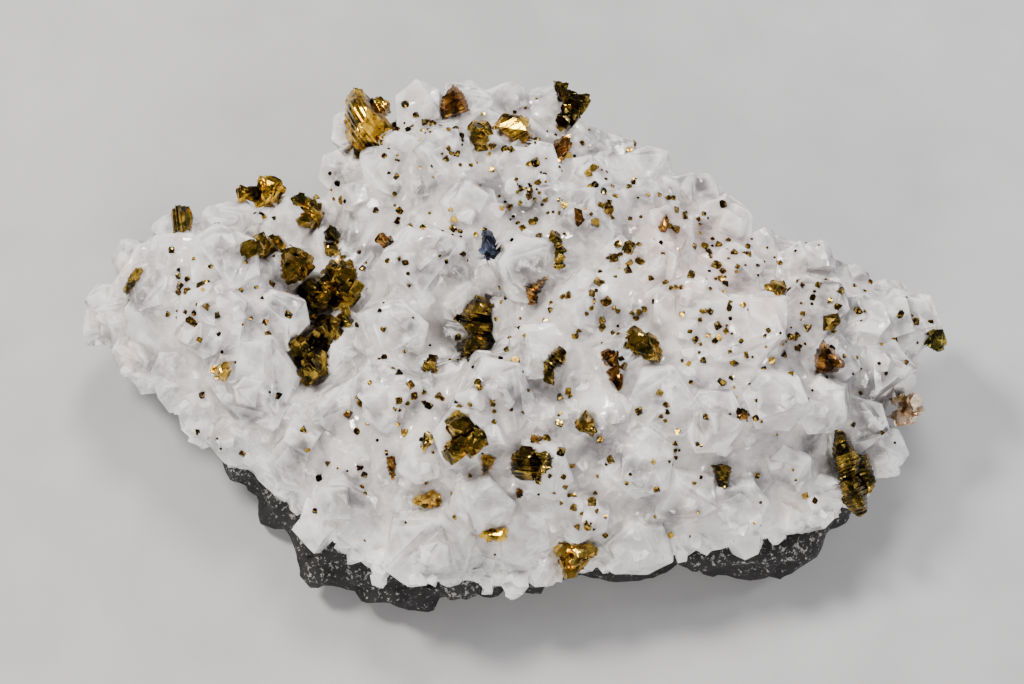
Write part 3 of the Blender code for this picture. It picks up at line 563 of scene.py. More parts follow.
def growFaces(plain, width, axis, draw):  # rounded edges, and growth layers on the upper faces
    body = plain.copy()
    bmesh.ops.bevel(body, geom=body.edges[:], offset=width * calciteSurface["edgeRound"], segments=2,
                    profile=0.5, affect="EDGES", clamp_overlap=True)
    body.normal_update()
    upper = [f for f in body.faces if f.normal.dot(axis) > 0.25 and f.calc_area() > 0.03 * width ** 2]
    for face in upper:
        if draw.random() < 0.6:
            centre = face.calc_center_median()
            room = min((centre - (e.verts[0].co + e.verts[1].co) / 2).length for e in face.edges)
            inset = room * draw.uniform(*calciteSurface["growthSteps"])
            height = calciteSurface["growthHeight"] * draw.uniform(0.6, 1.6)
            bmesh.ops.inset_individual(body, faces=[face], thickness=inset)
            bmesh.ops.inset_individual(body, faces=[face], thickness=min(0.12 * mm, room * 0.1), depth=height)
    if isClosed(body):
        plain.free()
        return body
    body.free()
    return plain


def waveHeight(place):
    height, length = calciteSurface["wave"]
    fineHeight, fineLength = calciteSurface["ripple"]
    return noise.noise(place / length) * height + noise.noise(place / fineLength) * fineHeight


def trimUnder(body):  # nothing reaches into the rock
    cut(body, Vector((0, 0, calcitePlate["rockTop"] + calcitePlate["seatGap"])), Vector((0, 0, -1)))
    return body


def addShape(name, body, collection):  # made fine enough to carry a wave; only closed shapes can be joined
    splitLongEdges(body, calciteSurface["finestEdge"])
    bmesh.ops.recalc_face_normals(body, faces=body.faces)
    body.normal_update()
    for vertex in body.verts:
        vertex.co += vertex.normal * waveHeight(vertex.co)
    if isClosed(body):
        meshObject(name, body, collection)
    else:
        body.free()


def randomPlaces(mesh, count, draw, wanted):  # evenly spread over the faces; wanted is a test of place and normal
    faces = [p for p in mesh.polygons]
    chosen = draw.choices(faces, weights=[p.area for p in faces], k=count * 6)
    places = []
    for face in chosen:
        a, b, c = (mesh.vertices[i].co for i in face.vertices[:3])
        u, v = draw.random(), draw.random()
        if u + v > 1:
            u, v = 1 - u, 1 - v
        place = a + (b - a) * u + (c - a) * v
        if len(places) < count and wanted(place, face.normal):
            places.append((place, face.normal.copy()))
    return places


def isBrokenWall(place, normal):  # the near wall, where the plate was broken off
    inward, _ = edgeDistance(place.x, place.y)
    return normal.y < -0.2 and place.z < 24 * mm and inward < 16 * mm


def settleBody(skin, cadTree, brassTree):  # fills the hollows, but not over a sulphide
    modifier = skin.modifiers.new("smooth", "SMOOTH")
    modifier.iterations = calciteSurface["bodySmoothing"]
    applyModifiers(skin)
    for vertex in skin.data.vertices:
        near, normal, _, _ = cadTree.find_nearest(vertex.co)
        away = vertex.co - near
        share = smoothStep(*calciteSurface["sulphideRoom"], brassTree.find_nearest(vertex.co)[3])
        room = calciteSurface["hollowFill"] * share
        if away.dot(normal) > 0 and away.length > room:
            vertex.co = near + away.normalized() * room
    moveAlongNormals(skin, lambda place, normal: -calciteSurface["bodyInset"])


def uncover(skin, brassTree):  # calcite that hides a sulphide from the viewer gives way to it
    body = bmesh.new()
    body.from_mesh(skin.data)
    rim, finest = calciteSurface["sulphideRim"], calciteSurface["rimEdge"]
    for _ in range(3):
        long = [e for e in body.edges if e.calc_length() > finest
                and brassTree.find_nearest((e.verts[0].co + e.verts[1].co) / 2, rim)[0]]
        bmesh.ops.subdivide_edges(body, edges=long, cuts=1)
        bmesh.ops.triangulate(body, faces=[face for face in body.faces if len(face.verts) > 3])
    deep, gap = calciteSurface["coverDepth"], calciteSurface["coverGap"]
    near = [vertex for vertex in body.verts if brassTree.find_nearest(vertex.co, deep)[0]]
    for turn in range(calciteSurface["coverRounds"]):
        moved = []
        for vertex in near:
            sight = vertex.co - eye
            hit = brassTree.ray_cast(eye, sight)[3]
            if hit and 0 < hit - sight.length < deep:
                vertex.co = eye + sight.normalized() * (hit + gap)
                moved.append(vertex)
        if turn < calciteSurface["coverRounds"] - 1:
            bmesh.ops.smooth_vert(body, verts=moved, factor=0.5, use_axis_x=True, use_axis_y=True, use_axis_z=True)
    body.to_mesh(skin.data)
    body.free()


def tintOf(fields):  # a function of place and normal for paintPoints
    def strength(place, normal):
        pixel = seenPixel(place)
        total = sum(most * math.exp(-((pixel - Vector(centre)).length / reach) ** 2) for centre, reach, most in fields)
        return min(1.0, total)
    return strength


def brokenShare(place, normal):
    inward, _ = edgeDistance(place.x, place.y)
    near = smoothStep(0.1, -0.3, normal.y) if inward > 0 else 1.0
    return near * smoothStep(27 * mm, 19 * mm, place.z) * smoothStep(20 * mm, 8 * mm, inward) * smoothStep(0, -20 * mm, place.y)


def makeCalcite():
    skin = copyNode("calcite", specimen)
    skin.name = "calciteCrust"
    brassTree = treeOf([node.data for name, node in frame["nodes"].items() if name not in ("calcite", "matrix")])
    cadMesh = skin.data.copy()
    remesh(skin, calciteSurface["bodyVoxel"])
    settleBody(skin, treeOf([cadMesh]), brassTree)
    low = calcitePlate["rockTop"] + calcitePlate["seatGap"]
    for vertex in skin.data.vertices:
        vertex.co.z = max(vertex.co.z, low)
    crystals = gather("crystals")
    draw = random.Random(calcitePlate["seed"] + 1)
    fine = random.Random(calciteSurface["seed"])
    for number, (place, axis, width, kind) in enumerate(calciteLayout()):
        if kind == "rubble":
            body = rubbleShape(width, draw)
            chip(body, width, fine)
        else:
            body = calciteShape(width, draw, number < len(calcitePlate["crystals"]))
            flatEnd(body, width, fine)
        trimUnder(lay(body, place, axis, draw.uniform(0, math.tau)))
        if kind == "crystal":
            body = growFaces(body, width, axis, fine)
        addShape(f"crystal{number}", body, crystals)

    def isClear(place, normal, reach):
        return normal.z > -0.3 and place.z > low + 3 * mm and brassTree.find_nearest(place)[3] > reach

    for kind, reach, lean in (("middle", 5.0 * mm, 0.28), ("small", 3.0 * mm, 0.45)):
        places = randomPlaces(cadMesh, calciteSurface[kind + "Crystals"], fine, lambda p, n: isClear(p, n, reach))
        for number, (place, normal) in enumerate(places):
            smallest, largest = calciteSurface[kind + "Width"]
            width = fine.triangular(smallest, largest, smallest * 1.3) * mm
            body = calciteShape(width, fine, True)
            flatEnd(body, width, fine)
            axis = (normal + Vector([fine.gauss(0, lean) for _ in range(3)])).normalized()
            place = place - normal * width * fine.uniform(*calciteSurface[kind + "Sink"])
            trimUnder(lay(body, place, axis, fine.uniform(0, math.tau)))
            body = growFaces(body, width, axis, fine)
            addShape(f"{kind}{number}", body, crystals)
    grains = randomPlaces(cadMesh, calciteSurface["grains"], fine,
                          lambda p, n: isBrokenWall(p, n) and isClear(p, n, 2.0 * mm))
    for number, (place, normal) in enumerate(grains):
        width = fine.triangular(*calciteSurface["grainWidth"], 2.2) * mm
        body = rubbleShape(width, fine)
        axis = Vector((fine.gauss(0, 1), fine.gauss(0, 1), fine.gauss(0, 1))).normalized()
        trimUnder(lay(body, place - normal * width * calciteSurface["grainSink"], axis, 0))
        addShape(f"grain{number}", body, crystals)
    joinAll(skin, crystals)
    keepLargest(skin)
    uncover(skin, brassTree)
    keepInBox(skin)
    # the rim attribute drives the painted highlight that lightens the crests
    markRidges(skin, "rim", calciteSurface["rimSharpness"])
    # pink stain, smoky grey with painted shade, and painted highlights (gleams)
    for tint in ("pink", "smoke", "gleam"):
        paintPoints(skin, tint, tintOf(calciteSurface[tint]))
    paintPoints(skin, "broken", brokenShare)
    shade(skin, calciteSurface["sharpDegrees"])
    print("calcite:", len(skin.data.polygons), "faces")
    return skin


# Floor and light.
studio = {
    "floor": ("#b4b5b8", "#bdbec1"),
    "world": "#a3a2a2",
    "worldStrength": 0.68,
    # name, place in m, aimed at m, size in m, watts, colour
    "lights": [
        ("keyLight", (-0.60, 0.30, 0.90), (0, 0, 0), 0.24, 13.0, "#fff8ee"),
        ("topLight", (0.10, 0.60, 0.95), (0, 0, 0), 0.30, 7.5, "#fffefc"),
        ("rimLight", (0.90, 0.20, 0.45), (0, 0, 0), 0.22, 3.6, "#fbfaff"),
        ("fillLight", (-0.15, -1.0, 0.60), (0, 0, 0), 0.50, 9.0, "#fffaf4"),
    ],
}


def makeStudio():
    body = bmesh.new()
    bmesh.ops.create_grid(body, x_segments=4, y_segments=4, size=2.5)
    floor = meshObject("floor", body, bpy.context.scene.collection)
    board = newMaterial("paintedBoard")  # matt emulsion paint on board: an even pale ground
    tree = board.node_tree
    place = addNode(tree, "ShaderNodeTexCoord").outputs["Object"]
    grain = addNode(tree, "ShaderNodeTexNoise", {"Scale": 60, "Detail": 4}, {"Vector": place})
    darker, paler = studio["floor"]
    tone = addNode(tree, "ShaderNodeValToRGB", {"stops": [(0.3, linear(darker)), (0.7, linear(paler))]},
                   {"Fac": grain.outputs["Fac"]})
    shader = addNode(tree, "ShaderNodeBsdfPrincipled", {"Roughness": 0.6}, {"Base Color": tone.outputs["Color"]})
    addNode(tree, "ShaderNodeOutputMaterial", links={"Surface": shader.outputs["BSDF"]})
    floor.data.materials.append(board)
    world = bpy.data.worlds.new("studio")
    world.use_nodes = True
    background = world.node_tree.nodes["Background"]
    background.inputs["Color"].default_value = linear(studio["world"])
    background.inputs["Strength"].default_value = studio["worldStrength"]
    bpy.context.scene.world = world
    for name, place, aim, size, watts, colour in studio["lights"]:
        lamp = bpy.data.lights.new(name, "AREA")
        lamp.shape = "DISK"
        lamp.size = size
        lamp.energy = watts
        lamp.color = linear(colour)[:3]
        light = bpy.data.objects.new(name, lamp)
        light.location = place
        light.rotation_euler = (Vector(aim) - Vector(place)).to_track_quat("-Z", "Y").to_euler()
        bpy.context.scene.collection.objects.link(light)


calciteLook = {
    # sRGB, from the cloudy hearts to the clearest white
    "milk": [(0.34, "#a19da0"), (0.46, "#c4c0c1"), (0.58, "#e0dcdb"), (0.74, "#f5f1f0")],
    # painted highlight colour, for crests and flash patches
    "crest": "#ffffff",
    "pink": "#f0cfc6",
    # smoky grey, also used as painted shade in the hollows
    "smoke": "#4a4644",
    "broken": "#f8f8f8",
    "cloudSize": 9 * mm,
    "veilSize": 2.0 * mm,
    "cleavageSize": 2.4 * mm,
    "cleavageTilt": 1.0,
    "flashSize": 2.4 * mm,
    "grainHeight": 0.14 * mm,
    "crumbSize": 1.0 * mm,
    "crumbHeight": 0.55 * mm,
    "roughness": (0.05, 0.22),
    "clearness": 0.35,
}


def calciteMaterial():
    # Calcite, grown in a vein: milky glass to the eye, with cloudy hearts, a pink stain and smoky grey crystals;
    # painted shade darkens the hollows, and painted highlights make the pale rims and white cleavage flashes.
    look = calciteLook
    made = newMaterial("calciteVeinGrown")
    tree = made.node_tree
    place = addNode(tree, "ShaderNodeTexCoord").outputs["Object"]
    painted = {name: addNode(tree, "ShaderNodeAttribute", {"attribute_name": name}).outputs["Fac"]
               for name in ("rim", "pink", "smoke", "gleam", "broken")}
    cloud = addNode(tree, "ShaderNodeTexNoise", {"Scale": 1 / look["cloudSize"], "Detail": 5, "Roughness": 0.62},
                    {"Vector": place})
    veil = addNode(tree, "ShaderNodeTexNoise", {"Scale": 1 / look["veilSize"], "Detail": 6, "Roughness": 0.75},
                   {"Vector": place})
    milk = addNode(tree, "ShaderNodeValToRGB", {"stops": [(at, linear(colour)) for at, colour in look["milk"]]},
                   {"Fac": cloud.outputs["Fac"]})
    # painted highlight: crests are lightened towards white
    crest = addNode(tree, "ShaderNodeMapRange", {"From Min": 0.5, "From Max": 0.95, "To Min": 0.0, "To Max": 0.7},
                    {"Value": painted["rim"]})
    # painted highlights for cleavage flashes: square-edged cells, a few of them bright white and feathered, joined by
    # the listed gleams
    cells = addNode(tree, "ShaderNodeTexVoronoi", {"distance": "CHEBYCHEV", "Scale": 1 / look["flashSize"]},
                    {"Vector": place})
    picked = addNode(tree, "ShaderNodeSeparateColor", links={"Color": cells.outputs["Color"]})
    flashHighlight = addNode(tree, "ShaderNodeMapRange", {"From Min": 0.88, "From Max": 0.90, "To Min": 0.0, "To Max": 1.0},
                    {"Value": picked.outputs["Red"]})
    feather = addNode(tree, "ShaderNodeMapRange", {"From Min": 0.42, "From Max": 0.60, "To Min": 0.0, "To Max": 1.0},
                      {"Value": veil.outputs["Fac"]})
    bright = addNode(tree, "ShaderNodeMath", {"operation": "MAXIMUM"},
                     {0: flashHighlight.outputs["Result"], 1: painted["gleam"]})
    paintedHighlight = addNode(tree, "ShaderNodeMath", {"operation": "MULTIPLY"},
                    {0: bright.outputs["Value"], 1: feather.outputs["Result"]})
    speckled = addNode(tree, "ShaderNodeMapRange", {"From Min": 0.50, "From Max": 0.72, "To Min": 0.0, "To Max": 1.0},
                       {"Value": veil.outputs["Fac"]})
    # smoky grey crystals, partly painted shade darkening the hollows
    smokyAndShaded = addNode(tree, "ShaderNodeMath", {"operation": "MULTIPLY", 1: 0.8}, {0: painted["smoke"]})
    rosy = addNode(tree, "ShaderNodeMath", {"operation": "MULTIPLY", 1: 0.6}, {0: painted["pink"]})
    tone = milk.outputs["Color"]
    # white broken wall, smoky grey with painted shade, pink stain, then painted highlights on crests and flash patches
    for share, colour in ((painted["broken"], "broken"), (smokyAndShaded.outputs["Value"], "smoke"),
                          (rosy.outputs["Value"], "pink"), (crest.outputs["Result"], "crest"),
                          (paintedHighlight.outputs["Value"], "crest")):
        tone = addNode(tree, "ShaderNodeMix", {"data_type": "RGBA", 7: linear(look[colour])},
                       {0: share, 6: tone}).outputs[2]
    rough = addNode(tree, "ShaderNodeMapRange",
                    {"From Min": 0.35, "From Max": 0.65, "To Min": look["roughness"][0], "To Max": look["roughness"][1]},
                    {"Value": veil.outputs["Fac"]})
    clear = addNode(tree, "ShaderNodeMapRange",
                    {"From Min": 0.46, "From Max": 0.34, "To Min": 0.0, "To Max": look["clearness"]},
                    {"Value": cloud.outputs["Fac"]})
    # cleavage steps: flat cells, each tilted its own way, so that some of them catch the light
    steps = addNode(tree, "ShaderNodeTexVoronoi", {"Scale": 1 / look["cleavageSize"]}, {"Vector": place})
    arm = addNode(tree, "ShaderNodeVectorMath", {"operation": "SUBTRACT"}, {0: place, 1: steps.outputs["Position"]})
    lean = addNode(tree, "ShaderNodeVectorMath", {"operation": "SUBTRACT", 1: (0.5, 0.5, 0.5)},
                   {0: steps.outputs["Color"]})
    slope = addNode(tree, "ShaderNodeVectorMath", {"operation": "DOT_PRODUCT"},
                    {0: arm.outputs["Vector"], 1: lean.outputs["Vector"]})
    fine = addNode(tree, "ShaderNodeMath", {"operation": "MULTIPLY", 1: look["grainHeight"]},
                   {0: speckled.outputs["Result"]})
    stepped = addNode(tree, "ShaderNodeMath", {"operation": "MULTIPLY_ADD", 1: look["cleavageTilt"]},
                      {0: slope.outputs["Value"], 2: fine.outputs["Value"]})
    # the broken wall is crumbly
    crumbs = addNode(tree, "ShaderNodeTexNoise", {"Scale": 1 / look["crumbSize"], "Detail": 4, "Roughness": 0.65},
                     {"Vector": place})
    crumbly = addNode(tree, "ShaderNodeMath", {"operation": "MULTIPLY", 1: look["crumbHeight"]},
                      {0: painted["broken"]})
    height = addNode(tree, "ShaderNodeMath", {"operation": "MULTIPLY_ADD"},
                     {0: crumbs.outputs["Fac"], 1: crumbly.outputs["Value"], 2: stepped.outputs["Value"]})
    bump = addNode(tree, "ShaderNodeBump", {"Strength": 1.0, "Distance": 1.0}, {"Height": height.outputs["Value"]})
    shader = addNode(tree, "ShaderNodeBsdfPrincipled",
                     {"subsurface_method": "BURLEY", "IOR": 1.57, "Subsurface Weight": 0.7,
                      "Subsurface Scale": 3.5 * mm,
                      "Subsurface Radius": (1.0, 0.98, 0.99)},
                     {"Base Color": tone, "Roughness": rough.outputs["Result"],
                      "Transmission Weight": clear.outputs["Result"], "Normal": bump.outputs["Normal"]})
    addNode(tree, "ShaderNodeOutputMaterial", links={"Surface": shader.outputs["BSDF"]})
    return made


# Chalcopyrite and the grey sulphide: each CAD crystal group with parallel-grown blocks or ribs on it.
sulphideForm = {
    "blocks": (14, 0.16),  # on each crystal without ribs: at least, and per mm2 of its surface
    "mostBlocks": 70,
    "blockWidth": (0.16, 0.36),  # of the crystal's width
    "blockLimits": (0.7 * mm, 3.2 * mm),
    "blockSink": (0.24, 0.42),  # how far a block's middle lies under the face, of the block's width
    "blockLean": 0.10,
    "longestEdge": 0.7 * mm,
    "ribStep": (0.55 * mm, 1.25 * mm),
    "ribCrest": 0.72,  # where the crest lies between two roots
    "ribHeight": 0.34 * mm,
    "ribBow": 9.0,  # per metre: how the ribs curve
    "ripple": (0.015 * mm, 1.1 * mm),
    "ridgeSharpness": 0.10 * mm,
    "sharpDegrees": 10,
}

# tone of each crystal, and the way across its ribs as seen (right, up) where it has one set of them
sulphides = {
    "chalcopyrite_wedge_crown_left": ("brassGilt", (0.84, 0.54)),
    "chalcopyrite_triangle_crown": ("bronzeTarnish", (-0.3, 0.95)),
    "chalcopyrite_tooth_crown": ("oliveTarnish", None),
    "chalcopyrite_striped_block_crown": ("brassGilt", (-0.45, 0.9)),
    "chalcopyrite_oval_crown_right": ("bronzeTarnish", None),
    "chalcopyrite_dark_cluster_crown": ("darkTarnish", None),
    "chalcopyrite_knob_left_lobe": ("brassGilt", None),
    "chalcopyrite_hook_left_lobe": ("oliveTarnish", None),
    "chalcopyrite_bud_valley_top": ("darkTarnish", None),
    "chalcopyrite_blade_valley": ("oliveTarnish", None),
    "chalcopyrite_nugget_left_lobe": ("oliveTarnish", None),
    "chalcopyrite_sliver_left_lobe": ("oliveTarnish", None),
    "chalcopyrite_mass_valley": ("oliveTarnish", None),
    "chalcopyrite_bead_valley_right": ("oliveTarnish", None),
    "chalcopyrite_bead_valley_left": ("oliveTarnish", None),
    "chalcopyrite_spur_valley_foot": ("darkTarnish", None),
    "chalcopyrite_barrel_left_lobe": ("oliveTarnish", (1, 0.1)),
    "chalcopyrite_rind_left_edge": ("darkTarnish", None),
    "chalcopyrite_spark_left_lobe": ("brassFresh", None),
    "chalcopyrite_bean_upper_middle": ("bronzeTarnish", None),
    "chalcopyrite_leaf_middle_right": ("bronzeTarnish", (0.5, 1)),
    "chalcopyrite_crescent_middle": ("oliveTarnish", None),
    "chalcopyrite_double_hollow": ("darkTarnish", (0.2, 1)),
    "chalcopyrite_thorn_hollow": ("darkTarnish", None),
    "chalcopyrite_boot_lower_middle": ("darkTarnish", (0.7, 0.7)),
    "chalcopyrite_nail_lower_middle": ("bronzeTarnish", None),
    "chalcopyrite_slab_centre": ("oliveTarnish", None),
    "chalcopyrite_pyramid_right": ("bronzeTarnish", (0, 1)),
    "chalcopyrite_plate_right": ("darkTarnish", None),
    "chalcopyrite_button_right": ("oliveTarnish", None),
    "chalcopyrite_drop_upper_right": ("bronzeTarnish", (1, 0.5)),
    "chalcopyrite_comma_upper_middle": ("bronzeTarnish", None),
    "chalcopyrite_trefoil_lower_left": ("oliveTarnish", None),
    "chalcopyrite_chisel_lower_left": ("oliveTarnish", None),
    "chalcopyrite_arrow_lower_middle": ("brassGilt", (0.4, 1)),
    "chalcopyrite_ribbed_pair_lower": ("darkTarnish", (0.1, 1)),
    "chalcopyrite_cap_lower": ("bronzeTarnish", None),
    "chalcopyrite_seed_lower": ("bronzeTarnish", None),
    "chalcopyrite_tent_lower_right": ("oliveTarnish", None),
    "chalcopyrite_fang_lower_left": ("bronzeTarnish", None),
    "chalcopyrite_gable_lower_left": ("brassFresh", None),
    "chalcopyrite_crumbs_lower": ("brassGilt", None),
    "chalcopyrite_heart_lower_edge": ("brassFresh", None),
    "chalcopyrite_claw_lower_right": ("darkTarnish", (0, 1)),
    "chalcopyrite_nut_lower_right": ("bronzeTarnish", None),
    "chalcopyrite_pillar_right_edge": ("darkTarnish", (-0.35, 1)),
    "chalcopyrite_pale_nugget_right_edge": ("rosyBrass", None),
    "chalcopyrite_knot_right_tip": ("greenTarnish", None),
    "grey_sulphide_middle": ("slateSulphide", None),
}


def blockShape(width, draw):  # a stubby sphenoid block, about as wide as it is high
    body = bmesh.new()
    bmesh.ops.create_cube(body, size=width)
    bmesh.ops.scale(body, verts=body.verts, vec=(1, draw.uniform(0.6, 1.0), draw.uniform(0.6, 1.3)))
    for corner in ((1, 1, 1), (-1, -1, 1), (-1, 1, -1), (1, -1, -1)):
        out = (Vector(corner) + Vector([draw.uniform(-0.35, 0.35) for _ in range(3)])).normalized()
        cut(body, out * width * draw.uniform(0.40, 0.62), out)
    return body


def growBlocks(piece, count, draw):
    form = sulphideForm
    sizes = sorted(piece.dimensions)
    axis = Vector([draw.gauss(0, 1) for _ in range(3)]).normalized()
    spin = draw.uniform(0, math.tau)
    blocks = gather("blocks")
    for number, (place, normal) in enumerate(randomPlaces(piece.data, count, draw, lambda p, n: True)):
        width = draw.uniform(*form["blockWidth"]) * sizes[1]
        width = min(max(width, form["blockLimits"][0]), form["blockLimits"][1])
        lean = Vector([draw.gauss(0, form["blockLean"]) for _ in range(3)])
        body = blockShape(width, draw)
        lay(body, place - normal * width * draw.uniform(*form["blockSink"]), (axis + lean).normalized(), spin)
        if isClosed(body):
            meshObject(f"block{number}", body, blocks)
        else:
            body.free()
    joinAll(piece, blocks)


def cutRibs(body, across, draw):  # saw-edged growth ribs, with a row of points on each root and crest
    form = sulphideForm
    side = across.cross(toViewer).normalized()
    middle = sum((vertex.co for vertex in body.verts), Vector()) / len(body.verts)
    bow = form["ribBow"] * draw.choice((-1, 1))

    def bend(way):
        for vertex in body.verts:
            vertex.co += across * (bow * way * (vertex.co - middle).dot(side) ** 2)

    bend(1)
    reach = [vertex.co.dot(across) for vertex in body.verts]
    lines = [(min(reach), 0.0)]
    while lines[-1][0] < max(reach):
        root, step = lines[-1][0], draw.uniform(*form["ribStep"])
        lines += [(root + step * form["ribCrest"], draw.uniform(0.4, 1.2)), (root + step, 0.0)]
    for at, _ in lines[1:]:
        everything = body.verts[:] + body.edges[:] + body.faces[:]
        bmesh.ops.bisect_plane(body, geom=everything, plane_co=across * at, plane_no=across)
    bmesh.ops.triangulate(body, faces=body.faces)
    body.normal_update()
    moves = []
    for vertex in body.verts:
        at = vertex.co.dot(across)
        upper = next((i for i, line in enumerate(lines) if line[0] >= at), len(lines) - 1)
        (a, lowHeight), (b, highHeight) = lines[max(0, upper - 1)], lines[upper]
        share = (at - a) / (b - a) if b > a else 0.0
        moves.append(vertex.normal * (lowHeight + (highHeight - lowHeight) * share - 0.4) * form["ribHeight"])
    for vertex, move in zip(body.verts, moves):
        vertex.co += move
    bend(-1)


def makeSulphide(node, tone, ribs):
    form = sulphideForm
    piece = copyNode(node, specimen)
    piece.name = node + "_crystal"
    draw = random.Random(node)
    if not ribs:
        area = sum(face.area for face in piece.data.polygons) / mm ** 2
        least, more = form["blocks"]
        growBlocks(piece, min(form["mostBlocks"], round(least + more * area)), draw)
    body = bmesh.new()
    body.from_mesh(piece.data)
    splitLongEdges(body, form["longestEdge"])
    if ribs:
        cutRibs(body, (seenRight * ribs[0] + seenUp * ribs[1]).normalized(), draw)
    body.to_mesh(piece.data)
    body.free()
    height, length = form["ripple"]
    moveAlongNormals(piece, lambda place, normal: noise.noise(place / length) * height)
    keepInBox(piece)
    markRidges(piece, "ridge", form["ridgeSharpness"])
    shade(piece, form["sharpDegrees"])
    piece.data.materials.clear()
    piece.data.materials.append(tone)
    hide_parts(node)
    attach(piece, "root")
    return piece


# film runs from the darkest tarnish to untarnished metal, crest is a painted highlight on edges and ribs; all are sRGB
sulphideTones = {
    "brassFresh": {"film": ("#6b5014", "#c4973a", "#e0b148", "#fbdc6e"), "crest": "#fff0a0", "roughness": (0.10, 0.26)},
    "brassGilt": {"film": ("#3c2f09", "#a67f1d", "#d6a327", "#f9d247"), "crest": "#ffe474", "roughness": (0.10, 0.24)},
    "oliveTarnish": {"film": ("#363013", "#66581f", "#8a6824", "#d2ae47"), "crest": "#f6d262", "roughness": (0.10, 0.30)},
    "bronzeTarnish": {"film": ("#2c1c0d", "#5f3d18", "#85541f", "#c99242"), "crest": "#f0bc5c", "roughness": (0.10, 0.30)},
    "darkTarnish": {"film": ("#221d0f", "#473c16", "#665020", "#b6963e"), "crest": "#e6c456", "roughness": (0.08, 0.28)},
    "rosyBrass": {"film": ("#ae855f", "#e2bd99", "#f3dcc2", "#fff5ea"), "crest": "#fff6e8", "roughness": (0.14, 0.32)},
    "greenTarnish": {"film": ("#1e1c0d", "#443f18", "#655c26", "#a8943f"), "crest": "#d8bf58", "roughness": (0.18, 0.40)},
    "slateSulphide": {"film": ("#12141a", "#2b303e", "#3f4659", "#6f7a93"), "crest": "#a3adc6", "roughness": (0.24, 0.44)},
}


def sulphideMaterial(name, look):
    # Chalcopyrite as it grew: a brassy metal with a film of tarnish on its faces, and a painted highlight that
    # brightens edges and steps.
    made = newMaterial(name)
    tree = made.node_tree
    place = addNode(tree, "ShaderNodeTexCoord").outputs["Object"]
    ridge = addNode(tree, "ShaderNodeAttribute", {"attribute_name": "ridge"})
    film = addNode(tree, "ShaderNodeTexNoise", {"Scale": 1 / (2.6 * mm), "Detail": 5, "Roughness": 0.65},
                   {"Vector": place})
    # each face tarnished in its own way
    faces = addNode(tree, "ShaderNodeTexVoronoi", {"Scale": 1 / (1.8 * mm)}, {"Vector": place})
    own = addNode(tree, "ShaderNodeSeparateColor", links={"Color": faces.outputs["Color"]})
    mixed = addNode(tree, "ShaderNodeMath", {"operation": "MULTIPLY_ADD", 1: 0.30},
                    {0: own.outputs["Red"], 2: film.outputs["Fac"]})
    stops = list(zip((0.52, 0.62, 0.72, 0.88), [linear(colour) for colour in look["film"]]))
    tone = addNode(tree, "ShaderNodeValToRGB", {"stops": stops}, {"Fac": mixed.outputs["Value"]})
    # painted highlight: ridges lightened towards the crest colour, broken up by the tarnish film
    edgeHighlight = addNode(tree, "ShaderNodeMapRange", {"From Min": 0.66, "From Max": 0.96, "To Min": 0.0, "To Max": 0.8},
                   {"Value": ridge.outputs["Fac"]})
    patchy = addNode(tree, "ShaderNodeMapRange", {"From Min": 0.45, "From Max": 0.62, "To Min": 0.0, "To Max": 1.0},
                     {"Value": film.outputs["Fac"]})
    patchyEdgeHighlight = addNode(tree, "ShaderNodeMath", {"operation": "MULTIPLY"},
                   {0: edgeHighlight.outputs["Result"], 1: patchy.outputs["Result"]})
    colour = addNode(tree, "ShaderNodeMix", {"data_type": "RGBA", 7: linear(look["crest"])},
                     {0: patchyEdgeHighlight.outputs["Value"], 6: tone.outputs["Color"]})
    rough = addNode(tree, "ShaderNodeMapRange",
                    {"From Min": 0.3, "From Max": 0.7, "To Min": look["roughness"][1], "To Max": look["roughness"][0]},
                    {"Value": film.outputs["Fac"]})
    fine = addNode(tree, "ShaderNodeTexNoise", {"Scale": 1 / (0.5 * mm), "Detail": 3}, {"Vector": place})
    bump = addNode(tree, "ShaderNodeBump", {"Strength": 0.3, "Distance": 0.05 * mm}, {"Height": fine.outputs["Fac"]})
    shader = addNode(tree, "ShaderNodeBsdfPrincipled", {"Metallic": 1.0},
                     {"Base Color": colour.outputs[2], "Roughness": rough.outputs["Result"],
                      "Normal": bump.outputs["Normal"]})
    addNode(tree, "ShaderNodeOutputMaterial", links={"Surface": shader.outputs["BSDF"]})
    return made


def makeSulphides():
    tones = {name: sulphideMaterial(name, look) for name, look in sulphideTones.items()}
    faces = 0
    for node, (tone, ribs) in sulphides.items():
        faces += len(makeSulphide(node, tones[tone], ribs).data.polygons)
    print("sulphides:", len(sulphides), "pieces,", faces, "faces")
    return tones


